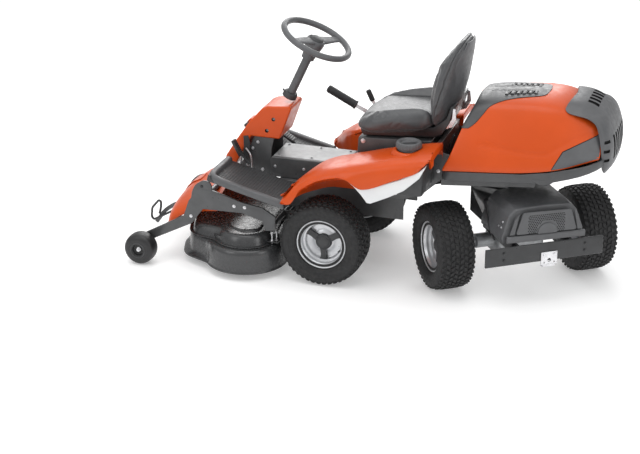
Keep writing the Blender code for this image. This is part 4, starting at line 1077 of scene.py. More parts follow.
def puffed(obj, pressure, cap):
    """Swells a pad as cloth under air pressure; no point travels further than cap."""
    remesh = obj.modifiers.new("even_skin", "REMESH")
    remesh.mode = "VOXEL"
    remesh.voxel_size = 0.005
    bake(obj)
    start = [corner.co.copy() for corner in obj.data.vertices]
    cloth = obj.modifiers.new("air", "CLOTH")
    cloth.settings.quality = 5
    cloth.settings.mass = 0.25
    cloth.settings.tension_stiffness = 18
    cloth.settings.compression_stiffness = 18
    cloth.settings.bending_stiffness = 1.5
    cloth.settings.use_pressure = True
    cloth.settings.uniform_pressure_force = pressure
    cloth.settings.effector_weights.gravity = 0
    cloth.point_cache.frame_start = 1
    cloth.point_cache.frame_end = 20
    scene = bpy.context.scene
    for frame_number in range(1, 21):
        scene.frame_set(frame_number)
    bake(obj)
    scene.frame_set(1)
    for corner, before in zip(obj.data.vertices, start):
        travel = corner.co - before
        if travel.length > cap:
            corner.co = before + travel.normalized() * cap
    return subdivided(bake(smoothed(obj, 3)), 1)


def smoothed(obj, times):
    soft = obj.modifiers.new("relaxed", "SMOOTH")
    soft.factor = 0.5
    soft.iterations = times
    return obj


def seam_distance(spot, line):
    """Distance from a point to a polyline."""
    best = 1.0
    for first, second in zip(line, line[1:]):
        span = second - first
        t = min(max((spot - first).dot(span) / span.length_squared, 0.0), 1.0)
        best = min(best, (spot - first - span * t).length)
    return best


def sewn(obj, lines, depth, width):
    """Presses seam channels into a baked pad and lays a row of stitches in each."""
    bake(obj)
    tree = BVHTree.FromPolygons([corner.co for corner in obj.data.vertices],
                                [face.vertices for face in obj.data.polygons])
    routes = []
    for line in lines:
        route = [tree.find_nearest(Vector(point))[0] for point in smooth_line(line, 8)]
        routes.append(route)
    sunk = []
    for corner in obj.data.vertices:
        near = min(seam_distance(corner.co, route) for route in routes)
        if near < width * 3:
            sunk.append((corner, corner.co - corner.normal * depth * exp(-(near / width) ** 2)))
    for corner, where in sunk:
        corner.co = where
    stitch_pitch = 0.0065
    bm = bmesh.new()
    for route in routes:
        travelled = 0.0
        for first, second in zip(route, route[1:]):
            span = second - first
            while travelled < span.length:
                centre = first + span * (travelled / span.length)
                near, normal, _, _ = tree.find_nearest(centre)
                turn = span.to_track_quat("X", "Z").to_matrix().to_4x4()
                where = Matrix.Translation(near - normal * depth * 0.75) @ turn
                bmesh.ops.create_uvsphere(bm, u_segments=8, v_segments=5, radius=0.001,
                                          matrix=where @ Matrix.Diagonal((2.2, 0.85, 0.85, 1)))
                travelled += stitch_pitch
            travelled -= span.length
    mesh = bpy.data.meshes.new(f"{obj.name}_stitches")
    bm.to_mesh(mesh)
    bm.free()
    piece(f"{obj.name}_stitches", mesh, THREAD, "seat")
    return obj


def seat():
    cushion = piece("seat_pad", pad_mesh("seat_pad_mesh", cushion_point), VINYL, "seat",
                    stands_for=("seat_cushion",))
    puffed(cushion, 4.0, 0.008)
    panels = []
    for side in (-1, 1):
        panels.append([(-0.084, side * 0.178, 0.728), (-0.097, side * 0.166, 0.755),
                       (-0.131, side * 0.142, 0.775), (-0.174, side * 0.128, 0.787),
                       (-0.250, side * 0.121, 0.795), (-0.450, side * 0.119, 0.805)])
    sewn(cushion, panels, 0.0050, 0.0040)
    back = piece("seat_back_pad", pad_mesh("seat_back_mesh", back_point), VINYL, "seat",
                 stands_for=("seat_back",))
    puffed(back, 4.0, 0.007)
    rise = []
    for side in (-1, 1):
        rise.append([(-0.47, side * 0.100, 0.830), (-0.47, side * 0.112, 0.900),
                     (-0.48, side * 0.115, 1.000), (-0.50, side * 0.104, 1.080),
                     (-0.52, side * 0.070, 1.125), (-0.53, side * 0.0, 1.138)])
        rise.append([(-0.470, side * 0.21, 0.815), (-0.502, side * 0.21, 0.896),
                     (-0.530, side * 0.21, 0.972), (-0.556, side * 0.19, 1.060),
                     (-0.575, side * 0.14, 1.125), (-0.585, side * 0.0, 1.160)])
    sewn(back, rise, 0.0040, 0.0040)
    seat_shell()
    softened("seat_pan", BLACK_PAINT, 0.003, 3)
    softened("seat_pedestal", DARK_STEEL, 0.004, 3)
    for side, hand in ((1, "left"), (-1, "right")):
        bolts(f"seat_pivot_bolt_{hand}", [(-0.130, side * 0.160, 0.655)], (0, side, 0), 0.008,
              "chassis")
        bracket = [(-0.505, 0.745), (-0.545, 0.760), (-0.566, 0.800), (-0.560, 0.850),
                   (-0.548, 0.850), (-0.545, 0.800), (-0.520, 0.768), (-0.500, 0.758)]
        low, high = sorted((side * 0.140, side * 0.146))
        rounded(piece(f"seat_bracket_{hand}", prism(f"seat_bracket_{hand}_mesh", "xz", bracket, low,
                                                     high), ZINC, "seat"), 0.0015, 2)


def seat_shell():
    """Hard grey shell behind the backrest, following its curve, with a rolled edge."""
    rows = []
    for k in range(29):
        z = 0.855 + (1.142 - 0.855) * k / 28
        half = 0.150 * (1 - swell(z, 1.02, 1.16) ** 2 * 0.62) * (1 - 0.25 * swell(-z, -0.88, -0.85))
        rows.append([(line_at(z, SHELL_LINE) + back_hollow(t * half) - 0.0035 + 0.006 * abs(t) ** 6,
                      t * half, z) for t in (-1 + j / 16 for j in range(33))])
    mesh = skin_mesh("seat_shell_mesh", rows, (-0.3, 0.0, 1.0))
    shell = piece("seat_shell_panel", mesh, GREY, "seat", stands_for=("seat_back_shell",))
    rounded(thickened(shell, 0.006, -1.0), 0.0025, 3, 50)


# ---------------------------------------------------------------- hood, tray and engine bay

HOOD_STATIONS = (-0.655, -0.668, -0.700, -0.745, -0.820, -0.910, -1.000, -1.080, -1.150, -1.190,
                 -1.218, -1.232)
TAIL_STATIONS = (-1.250, -1.266)
HOOD_CREST = [(-0.655, 0.908), (-0.700, 0.920), (-0.800, 0.931), (-0.950, 0.944), (-1.030, 0.941),
              (-1.080, 0.926), (-1.130, 0.904), (-1.190, 0.885), (-1.232, 0.860), (-1.266, 0.825)]
HOOD_SHOULDER = [(-0.660, 0.165), (-1.000, 0.180), (-1.205, 0.150), (-1.262, 0.126)]
HOOD_BASE_HALF = 0.284
TRAY_RIM = [(-0.530, 0.596), (-0.900, 0.626), (-1.020, 0.648), (-1.240, 0.710), (-1.270, 0.716)]


def between(x, table):
    """Straight-line reading of a short (x, value) table with falling x."""
    for (x0, v0), (x1, v1) in zip(table, table[1:]):
        if x >= x1:
            return v0 + (v1 - v0) * (x - x0) / (x1 - x0)
    return table[-1][1]


def hood_section(x, lean):
    """Half section from the base edge over the shoulder to the crown; lean carries it forward."""
    crest, shoulder = between(x, HOOD_CREST), between(x, HOOD_SHOULDER)
    base = HOOD_BASE_HALF - 0.055 * max(0.0, (-1.08 - x) / 0.125)
    foot_x = x + 0.118 * lean
    foot = between(foot_x, TRAY_RIM) + 0.003
    flank = crest - 0.120
    return [(foot_x, base, foot), (foot_x - 0.004 * lean, base + 0.001, foot + 0.014),
            (foot_x - 0.034 * lean, base - 0.010, foot + 0.36 * (flank - foot)),
            (x + 0.050 * lean, shoulder + 0.054, flank),
            (x + 0.014 * lean, shoulder + 0.022, crest - 0.050),
            (x, shoulder - 0.004, crest - 0.020), (x, shoulder * 0.5, crest - 0.006), (x, 0.0, crest)]


def hood_cage(stations):
    """Coarse cage of the left half: the front wall's columns, then the side's stations."""
    sections = [hood_section(x, max(0.0, 1 - (HOOD_STATIONS[0] - x) / 0.42)) for x in stations]
    rows = []
    for share in (0.0, 0.45, 0.82, 0.95):
        bulge = 0.006 * (1 - share ** 2)
        rows.append([(x + bulge, y * share, z) for x, y, z in sections[0]])
    return rows + sections


def mirrored_half(obj):
    other = obj.modifiers.new("other_half", "MIRROR")
    other.use_axis = (False, True, False)
    other.use_clip = True
    other.merge_threshold = 0.0004
    return obj


def surface_of(obj):
    """A search tree over a baked piece, in the piece's own axes."""
    return BVHTree.FromPolygons([corner.co for corner in obj.data.vertices],
                                [face.vertices for face in obj.data.polygons])


def laid_patch(tree, rays, lift):
    """Rows of points where rays (origin, direction) meet a surface, raised off it by lift.

    A ray that misses is tried again a little higher each time.
    """
    step_up, tries = Vector((0, 0, 0.002)), 200
    rows = []
    for row in rays:
        hits = []
        for origin, direction in row:
            heading = Vector(direction).normalized()
            casts = (tree.ray_cast(Vector(origin) + step_up * k, heading)[0] for k in range(tries))
            spot = next(hit for hit in casts if hit is not None)
            normal = tree.find_nearest(spot)[1]
            if normal.dot(heading) < 0:
                normal = -normal
            hits.append(spot + normal * lift)
        rows.append(hits)
    return rows


INSERT_ROWS = [(-0.630, 0.232, 0.792, -0.622, 0.780), (-0.650, 0.224, 0.806, -0.625, 0.830),
               (-0.668, 0.216, 0.822, -0.632, 0.862), (-0.697, 0.200, 0.862, -0.650, 0.900),
               (-0.723, 0.178, 0.893, -0.690, 0.912), (-0.775, 0.142, 0.910, -0.755, 0.918),
               (-0.830, 0.118, 0.920, -0.826, 0.926), (-0.880, 0.104, 0.925, -0.880, 0.930),
               (-0.925, 0.092, 0.930, -0.930, 0.936), (-0.950, 0.078, 0.932, -0.955, 0.937),
               (-0.960, 0.058, 0.934, -0.966, 0.937)]


def insert_rays(grow):
    """Fans of rays in planes through each edge point and its middle point."""
    fans = []
    for x, y, z, middle_x, middle_z in smooth_line(INSERT_ROWS, 5):
        origin = Vector((min(x, -0.800), 0.0, 0.800))
        inner = Vector((middle_x, 0.0, middle_z)) - origin
        fan = []
        for t in (k / 20 for k in range(-20, 21)):
            outer = Vector((x, (y + grow) * (1 if t > 0 else -1), z)) - origin
            fan.append((tuple(origin), tuple(inner * (1 - abs(t)) + outer * abs(t))))
        fans.append(fan)
    return fans


def hood_insert(tree):
    """Grey skin over the hood's front edge and top, with a painted shadow gap, ribs and slots."""
    # Painted shadow: a black sheet a little wider than the insert, just under it, stands for the shade in
    # the gap round its edge.
    gap = grid_mesh("hood_insert_shadow_gap_mesh", laid_patch(tree, insert_rays(0.003), 0.0005))
    piece("hood_insert_shadow_gap", gap, SHADOW, "hood")
    rows = laid_patch(tree, insert_rays(0.0), 0.0026)
    skin = skin_mesh("hood_insert_mesh", rows, (-0.80, 0, 0.75))
    skin_piece = piece("hood_insert_skin", skin, DARK_GREY, "hood", stands_for=("hood_insert",))
    rounded(thickened(skin_piece, 0.0024), 0.0010, 2, 50)
    bake(skin_piece)
    cutters = []
    for side in (-1, 1):
        for k in range(5):
            x = -0.792 - 0.026 * k
            y = side * (0.068 - 0.003 * k)
            low, high = sorted((y - 0.019, y + 0.019))
            cutters.append(slab("louvre", (x - 0.0045, low, 0.85), (x + 0.0045, high, 1.0)))
        low, high = sorted((side * 0.0880, side * 0.0910))
        cutters.append(slab("long_slot", (-0.905, low, 0.85), (-0.800, high, 1.0)))
    cut(skin_piece, cutters)
    bm = bmesh.new()
    for side in (-1, 1):
        for k in range(6):
            x = -0.779 - 0.026 * k
            y = side * (0.068 - 0.003 * k)
            top = tree.ray_cast(Vector((x, y, 1.2)), Vector((0, 0, -1)))[0].z
            rib = [(x + 0.009, top + 0.001), (x + 0.0075, top + 0.0052), (x + 0.002, top + 0.0068),
                   (x - 0.006, top + 0.0050), (x - 0.0085, top + 0.001)]
            low, high = sorted((y - 0.021, y + 0.021))
            prism_into(bm, "xz", rib, low, high)
    rounded(piece("hood_louvre_ribs", to_mesh("hood_louvre_ribs_mesh", bm), DARK_GREY, "hood"), 0.0018, 3)
    crease = [tree.ray_cast(Vector((x, 0.0, 1.2)), Vector((0, 0, -1)))[0] for x in
              (-0.700, -0.760, -0.820, -0.880)]
    bm = bmesh.new()
    for side in (-1, 1):
        grid(bm, [[(spot.x, side * (0.030 + w), spot.z + lift) for spot in crease]
                  for w, lift in ((-0.004, 0.0015), (-0.001, 0.0036), (0.001, 0.0036), (0.004, 0.0015))])
    piece("hood_insert_ridges", to_mesh("hood_insert_ridges_mesh", bm), DARK_GREY, "hood")


def hood_corner_panels(tree):
    """Dark moulded panels at the rear lower corners of the hood, each over a black sheet in painted
    shadow.
    """
    low_line = [(-1.034, 0.662), (-1.100, 0.679), (-1.170, 0.700), (-1.229, 0.717)]
    high_line = [(-1.076, 0.740), (-1.120, 0.762), (-1.170, 0.786), (-1.222, 0.812)]
    for side, hand in ((1, "left"), (-1, "right")):
        # The gap layer is painted shadow: a black sheet a little larger than the panel stands for the
        # shade round its edge.
        for label, grow, lift, finish in (("gap", 0.003, 0.0006, SHADOW), ("skin", 0.0, 0.0022, GREY)):
            rays = []
            for k in range(25):
                t = k / 24
                low = spline_at(low_line, t)
                high = spline_at(high_line, t)
                rays.append([((low[0] + (high[0] - low[0]) * s + grow * (1 - t), 0.0,
                               low[1] + (high[1] - low[1]) * s + grow * s), (0, side, 0))
                             for s in (step / 12 for step in range(13))])
            rows = laid_patch(tree, rays, lift)
            mesh = skin_mesh(f"corner_{label}_{hand}_mesh", rows, (-1.1, 0, 0.7))
            panel = piece(f"hood_corner_{label}_{hand}", mesh, finish, "hood")
            if label == "skin":
                rounded(thickened(panel, 0.0022), 0.0009, 2, 50)


def spline_at(points, t):
    """The point a share t of the way along a smooth line, by points."""
    spans = len(points) - 1
    span = min(int(t * spans), spans - 1)
    corners = [points[min(max(span + k, 0), spans)] for k in (-1, 0, 1, 2)]
    return spline_point(*corners, t * spans - span)


def hood():
    body_rows = hood_cage(HOOD_STATIONS + TAIL_STATIONS)
    guide = piece("hood_guide", skin_mesh("guide_mesh", body_rows, (-0.90, 0.0, 0.60)), ORANGE, "hood")
    bake(subdivided(mirrored_half(guide), 3))
    tree = surface_of(guide)
    bpy.data.objects.remove(guide)
    rows = hood_cage(HOOD_STATIONS)
    mesh = skin_mesh("hood_skin_mesh", rows, (-0.90, 0.0, 0.60))
    shell = piece("hood_skin", mesh, ORANGE, "hood", stands_for=("hood_shell",))
    bake(subdivided(mirrored_half(shell), 4))
    lines = []
    for side in (-1, 1):
        lines.append([(-0.700, side * 0.258, 0.735), (-0.800, side * 0.262, 0.728),
                      (-0.900, side * 0.262, 0.718), (-1.000, side * 0.258, 0.722),
                      (-1.060, side * 0.246, 0.760), (-1.130, side * 0.222, 0.800),
                      (-1.210, side * 0.190, 0.822)])
    dent(shell, lines, 0.0030, 0.012)
    rounded(thickened(shell, 0.004), 0.0012, 2, 60)
    hood_insert(tree)
    hood_corner_panels(tree)


def dent(obj, lines, depth, width):
    """A soft crease pressed into a baked skin along smooth lines near its surface."""
    tree = surface_of(obj)
    routes = [[tree.find_nearest(Vector(point))[0] for point in smooth_line(line, 6)]
              for line in lines]
    moved = []
    for corner in obj.data.vertices:
        near = min(seam_distance(corner.co, route) for route in routes)
        if near < width * 3:
            moved.append((corner, corner.co - corner.normal * depth * exp(-(near / width) ** 2)))
    for corner, where in moved:
        corner.co = where


GRILLE_LEVELS = [(0.625, -1.258, 0.150, -1.245), (0.655, -1.280, 0.186, -1.240),
                 (0.690, -1.286, 0.198, -1.240), (0.730, -1.288, 0.202, -1.236),
                 (0.780, -1.283, 0.202, -1.228), (0.830, -1.267, 0.200, -1.216),
                 (0.862, -1.251, 0.195, -1.200), (0.884, -1.236, 0.188, -1.160),
                 (0.896, -1.226, 0.180, -1.085), (0.908, -1.210, 0.166, -1.062),
                 (0.922, -1.186, 0.146, -1.064), (0.932, -1.156, 0.120, -1.070),
                 (0.937, -1.128, 0.080, -1.076), (0.939, -1.104, 0.040, -1.080),
                 (0.939, -1.090, 0.004, -1.083)]


def grille_rows(inset, steps=5):
    """Horseshoe rows round the rear, one for each level, inset towards the engine."""
    rows = []
    for z, rear, half, front in smooth_line(GRILLE_LEVELS, steps):
        row = []
        for k in range(49):
            a = pi * (k / 48 - 0.5)
            c, s = cos(a), sin(a)
            y = max(half - inset, 0.002) * abs(s) ** 0.70 * (1 if s > 0 else -1)
            x = front - max(front - rear - inset, 0.004) * max(c, 0.0) ** 0.70
            row.append((x, y, z - inset * (0.5 if z > 0.88 else 0)))
        rows.append(row)
    return rows


def rear_grille():
    """Dark rear moulding: a curved skin with louvre openings over a liner in painted shade."""
    mesh = skin_mesh("rear_grille_mesh", grille_rows(0.0), (-1.18, 0.0, 0.75))
    skin = piece("rear_grille_skin", mesh, GREY, "hood", stands_for=("rear_grille",))
    bake(thickened(skin, 0.005))
    cutters = []
    for k in range(5):
        y = -0.080 + 0.040 * k
        cutters.append(slab("top_slot", (-1.196, y - 0.012, 0.86), (-1.146, y + 0.012, 1.00)))
    for k in range(7):
        y = -0.120 + 0.040 * k
        cutters.append(slab("rear_slot", (-1.320, y - 0.011, 0.690), (-1.245, y + 0.011, 0.800)))
    for side in (-1, 1):
        for k in range(3):
            z = 0.700 + 0.042 * k
            low, high = sorted((side * 0.168, side * 0.230))
            cutters.append(slab("side_slot", (-1.270, low, z - 0.007), (-1.246, high, z + 0.007)))
    cut(skin, cutters, SHADOW)
    rounded(skin, 0.0011, 2, 45)
    # Painted shade: a black skin just inside the moulding stands for the shadow behind the openings.
    shade_liner = skin_mesh("grille_shade_liner_mesh", grille_rows(0.009), (-1.18, 0.0, 0.75))
    piece("rear_grille_shade_liner", shade_liner, SHADOW, "hood")
    bm = bmesh.new()
    for k in range(4):
        z = 0.712 + 0.022 * k
        bars = grille_bar(z)
        grid(bm, bars)
    bars_mesh = to_mesh("grille_bars_mesh", bm)
    rounded(thickened(piece("rear_grille_bars", bars_mesh, CHARCOAL, "hood"), 0.003, 0), 0.0008, 2)


def grille_bar(z):
    """A thin horizontal bar behind the rear slots at one height."""
    back = smooth_value(-z, [(-level[0], level[1]) for level in GRILLE_LEVELS])
    return [[(back + 0.0070 + 0.35 * y * y + lift * 0.3, y, z + lift) for y in
             (-0.14, -0.10, -0.06, -0.02, 0.02, 0.06, 0.10, 0.14)] for lift in (-0.003, 0.003)]


def engine_bay():
    """The tray, engine, battery, silencer and strap behind and under the hood."""
    softened("engine_tray", DARK_GREY, 0.0035, 3)
    for side, hand in ((1, "left"), (-1, "right")):
        boss = [(-0.940, 0.612), (-0.955, 0.596), (-0.985, 0.586), (-1.020, 0.588),
                (-1.045, 0.604), (-1.052, 0.625)]
        low, high = sorted((side * 0.252, side * 0.2935))
        rounded(piece(f"tray_boss_{hand}", prism(f"tray_boss_{hand}_mesh", "xz", boss, low, high),
                      DARK_GREY, "chassis"), 0.007, 4)
    softened("engine_block", CAST, 0.004, 3)
    softened("battery", CHARCOAL, 0.004, 3)
    softened("muffler", EXHAUST, 0.001, 2)
    softened("hood_strap", GRIP, 0.003, 3)
    bm = bmesh.new()
    for side in (-1, 1):
        for k in range(9):
            x = -1.052 + 0.018 * k
            fin = [(side * 0.118, 0.669), (side * 0.2135, 0.669), (side * 0.2135, 0.751),
                   (side * 0.118, 0.751)]
            prism_into(bm, "yz", fin, x - 0.002, x + 0.002)
    fins = to_mesh("cooling_fins_mesh", bm)
    rounded(piece("engine_cooling_fins", fins, CAST, "chassis"), 0.0006, 2)
    screen = [(0.020, 0.0), (0.030, 0.004), (0.070, 0.004), (0.100, 0.001), (0.104, -0.004)]
    rings = MACHINE @ Matrix.Translation((-0.960, 0, 0.8405))
    piece("engine_fan_screen", turned("fan_screen_mesh", screen, 64), CHARCOAL, "chassis", rings)
    bm = bmesh.new()
    for k in range(18):
        spoke = prism_into(bmesh.new(), "xy", [(0.032, -0.0018), (0.098, -0.0028), (0.098, 0.0028),
                                               (0.032, 0.0018)], 0.003, 0.0075)
        bmesh.ops.rotate(spoke, cent=(0, 0, 0), matrix=Matrix.Rotation(2 * pi * k / 18, 3, "Z"),
                         verts=spoke.verts)
        part = bpy.data.meshes.new("screen_spoke")
        spoke.to_mesh(part)
        spoke.free()
        bm.from_mesh(part)
    piece("engine_screen_ribs", to_mesh("screen_ribs_mesh", bm), CHARCOAL, "chassis", rings)
    posts = [(-0.668, 0.060), (-0.668, -0.060)]
    for k, (x, y) in enumerate(posts):
        post = turned(f"battery_post_{k}_mesh", [(0.0, 0.012), (0.008, 0.012), (0.009, 0.010),
                                                 (0.0095, -0.002), (0.0, -0.002)], 28)
        piece(f"battery_post_{k}", post, ZINC, "chassis",
              MACHINE @ Matrix.Translation((x, y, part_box("battery")[1].z)))
    plug = [(-0.900, 0.2120, 0.712), (-0.880, 0.2180, 0.730), (-0.850, 0.190, 0.760),
            (-0.840, 0.120, 0.790)]
    rod("spark_lead", plug, 0.0035, GRIP, "chassis")


# ---------------------------------------------------------------- bogie

BOGIE_COVER_HALF = [(0.2000, 0.3135), (0.1985, 0.3450), (0.1670, 0.4350), (0.1340, 0.4660),
                    (0.0, 0.4720)]


def cover_face_x(z):
    """Where the cover's leaning rear face stands at a height."""
    return -0.3010 + (z - 0.3135) * 0.095


def bogie_cover():
    """Boxy moulded cover: leaning rear face with a raised frame, vent field, boss and sill."""
    face = [(cover_face_x(z), y, z) for y, z in BOGIE_COVER_HALF]
    rows = [[(x, 0.0, z) for x, _, z in face], face]
    rows += [[(x, y + spread, z + rise) for y, z in BOGIE_COVER_HALF]
             for x, spread, rise in ((-0.235, 0.001, 0.006), (-0.062, 0.0, 0.009))]
    for row in rows[2:]:
        row[-1] = (row[-1][0], 0.0, row[-1][2])
    mesh = skin_mesh("bogie_cover_mesh", rows, (-0.15, 0.0, 0.30))
    cover = piece("bogie_cover_skin", mesh, GREY, "bogie", BOGIE, ("bogie_cover",))
    bake(rounded(mirrored_half(cover), 0.011, 5, 18))
    rounded(thickened(cover, 0.0038), 0.0010, 2, 60)
    lean = BOGIE.copy()
    for k in range(4):
        lean[k][2] = BOGIE[k][2] + 0.095 * BOGIE[k][0]
    lean = lean @ Matrix.Translation((-0.3010 - 0.095 * 0.3135, 0, 0))
    frame_outline = [(-0.150, 0.350), (0.150, 0.350), (0.1180, 0.452), (-0.1180, 0.452)]
    plate = prism("bogie_panel_mesh", "yz", rounded_corners(frame_outline, [0.014] * 4, 5), -0.0062,
                  0.0030)
    panel = rounded(piece("bogie_cover_panel", plate, GREY, "bogie", lean), 0.0030, 4)
    bake(panel)
    pitch = 0.0092
    holes = []
    for row in range(11):
        for column in range(-10, 11):
            y = 0.002 + (column + 0.5 * (row % 2)) * pitch
            z = 0.3545 + row * pitch * 0.87
            boss_top = 0.3990 - 0.030 * (abs(y + 0.003) / 0.048) ** 4
            if abs(y - 0.002) < 0.090 and not (abs(y + 0.003) < 0.054 and z < boss_top + 0.006):
                holes.append(hole_mesh(y, z))
    cut(panel, holes, SHADOW)
    boss = ([(-0.051, 0.347)] + arc((-0.003, 0.352), 0.048, 180, 0, 17) + [(0.045, 0.347)])
    boss = [(y, z if z < 0.353 else 0.352 + (z - 0.352) * 0.95) for y, z in boss]
    rounded(piece("bogie_vent_boss", prism("bogie_boss_mesh", "yz", boss, -0.0120, 0.0), GREY,
                  "bogie", lean), 0.0045, 4)
    sill = [(-0.0085, 0.3150), (-0.0085, 0.3390), (-0.0040, 0.3450), (0.0030, 0.3450),
            (0.0030, 0.3150)]
    rounded(piece("bogie_cover_sill", prism("bogie_sill_mesh", "xz", sill, -0.1930, 0.1930), GREY,
                  "bogie", lean), 0.0025, 3)
    for side, hand in ((1, "left"), (-1, "right")):
        rib = [(side * 0.1545, 0.350), (side * 0.1785, 0.350), (side * 0.1560, 0.420),
               (side * 0.1330, 0.448)]
        rounded(piece(f"bogie_cover_rib_{hand}", prism(f"bogie_rib_{hand}_mesh", "yz", rib, -0.0035,
                                                       0.003), GREY, "bogie", lean), 0.0025, 3)
        window = [(-0.272, 0.350), (-0.222, 0.350), (-0.228, 0.412), (-0.264, 0.412)]
        low, high = sorted((side * 0.165, side * 0.1975))
        bm = prism_into(bmesh.new(), "xz", rounded_corners(window, [0.008] * 4, 4), low, high)
        for corner in bm.verts:
            corner.co.y -= side * (corner.co.z - 0.345) * 0.33
        rounded(piece(f"bogie_side_pad_{hand}", to_mesh(f"bogie_side_pad_{hand}_mesh", bm), CHARCOAL,
                      "bogie", BOGIE), 0.002, 3)
        spots = [(x, side * (0.1985 - (z - 0.345) * 0.33), z) for x, z in
                 ((-0.258, 0.400), (-0.262, 0.376), (-0.238, 0.376))]
        bolts(f"bogie_cover_bolts_{hand}", spots, (0, side, 0.33), 0.0050, "bogie", ZINC, BOGIE)


def hole_mesh(y, z):
    bm = bmesh.new()
    where = Matrix.Translation((-0.007, y, z)) @ Matrix.Rotation(pi / 2, 4, "Y")
    bmesh.ops.create_cone(bm, cap_ends=True, segments=6, radius1=0.0030, radius2=0.0030, depth=0.012,
                          matrix=where)
    mesh = bpy.data.meshes.new("vent_hole")
    bm.to_mesh(mesh)
    bm.free()
    return mesh


def bogie():
    bogie_cover()
    softened("bogie_frame", DARK_STEEL, 0.002, 3)
    softened("transaxle", CAST, 0.003, 3)
    softened("bumper", BLACK_PAINT, 0.003, 3)
    bolts("bumper_bolts", [(-0.333, y, z) for y in (-0.20, 0.20) for z in (0.245, 0.280)], (-1, 0, 0),
          0.0065, "bogie", BLACK_PAINT, BOGIE)
    plate = softened("hitch_plate", ZINC, 0.0015, 2)
    bake(plate)
    holes = []
    for y, z, radius in ((-0.045, 0.212, 0.0045), (0.005, 0.212, 0.0045), (-0.020, 0.222, 0.009)):
        bm = bmesh.new()
        turn = BOGIE @ Matrix.Translation((-0.336, y, z)) @ Matrix.Rotation(pi / 2, 4, "Y")
        bmesh.ops.create_cone(bm, cap_ends=True, segments=28, radius1=radius, radius2=radius,
                              depth=0.03, matrix=turn)
        mesh = bpy.data.meshes.new("plate_hole")
        bm.to_mesh(mesh)
        bm.free()
        holes.append(mesh)
    cut(plate, holes)
    bolts("hitch_bolts", [(-0.3385, -0.045, 0.249), (-0.3385, 0.005, 0.249)], (-1, 0, 0), 0.0060,
          "bogie", ZINC, BOGIE)
    tab = [(-0.337, 0.206), (-0.331, 0.206), (-0.331, 0.196), (-0.3085, 0.190), (-0.3085, 0.184),
           (-0.337, 0.190)]
    rounded(piece("hitch_tab", prism("hitch_tab_mesh", "xz", tab, -0.050, 0.010), ZINC, "bogie",
                  BOGIE), 0.001, 2)
    loop = [(-0.05, 0.150, 0.420), (-0.06, 0.185, 0.430), (-0.12, 0.198, 0.380),
            (-0.16, 0.198, 0.330), (-0.20, 0.190, 0.290)]
    rod("bogie_cable", loop, 0.0045, GRIP, "bogie", BOGIE)
    softened("kingpin", ZINC, 0.001, 2)


# ---------------------------------------------------------------- cutting deck

DRUM = (0.410, 0.280)
DRUM_RADIUS = 0.158


def rounded_corners(points, radii, count=6):
    """Replaces each corner of a closed outline by an arc-like curve of its own size."""
    result = []
    total = len(points)
    for k, (corner, radius) in enumerate(zip(points, radii)):
        if radius <= 0:
            result.append(tuple(corner))
            continue
        here = Vector(corner)
        before = Vector(points[k - 1]) - here
        after = Vector(points[(k + 1) % total]) - here
        start = here + before.normalized() * min(radius, before.length * 0.48)
        end = here + after.normalized() * min(radius, after.length * 0.48)
        for step in range(count + 1):
            t = step / count
            result.append(tuple(start * (1 - t) ** 2 + here * 2 * t * (1 - t) + end * t * t))
    return result


def deck_plan(grow, front):
    """Plan of the deck: a drum round each side blade, a nose with rounded corners."""
    radius = DRUM_RADIUS + grow
    drum = arc(DRUM, radius, 35, 190, 25)
    left = [(front, 0.120), (front, 0.180), (front - 0.050, 0.330)]
    tail = [(DRUM[0] - radius * 0.80, 0.100)]
    points = left + drum + tail
    points += [(x, -y) for x, y in reversed(points)]
    sharp = {0: 0, 1: 0.035, 2: 0.060, 3: 0.030, len(left + drum) - 1: 0.02, len(left + drum): 0.05}
    half = len(left + drum + tail)
    radii = [sharp.get(k, 0) for k in range(half)]
    return rounded_corners(points, radii + radii[::-1], 5)


def pressed(name, levels, grow, front, finish, stands_for, thickness=0.003, step_back=0.0):
    """A pressing with rounded shoulders: levels are (height, inset) from the lip to the top.

    The nose's wall stands step_back inside its lip.
    """
    plan = deck_plan(grow, front)
    centre = Vector((DRUM[0] + 0.02, 0.0))
    rows = []
    for z, inset in levels:
        row = []
        for k, point in enumerate(plan):
            here = Vector(point)
            before, after = Vector(plan[k - 1]), Vector(plan[(k + 1) % len(plan)])
            along = after - before
            normal = Vector((along.y, -along.x)).normalized()
            if normal.dot(here - centre) < 0:
                normal = -normal
            ledge = step_back * swell(here.x, 0.560, 0.640) * swell(z, 0.044, 0.050)
            row.append((*(here - normal * (inset + ledge)), z))
        rows.append(row)
    bm = bmesh.new()
    rings = grid(bm, rows, around=True)
    bm.faces.new(rings[-1])
    mesh = to_mesh(f"{name}_mesh", bm)
    obj = piece(name, mesh, finish, "deck", stands_for=stands_for)
    return thickened(obj, thickness, -1.0)


def evened(obj):
    """Shades a piece by the size of its faces, so flat faces stay flat beside rounded edges."""
    even = obj.modifiers.new("even_shading", "WEIGHTED_NORMAL")
    even.keep_sharp = True
    return obj


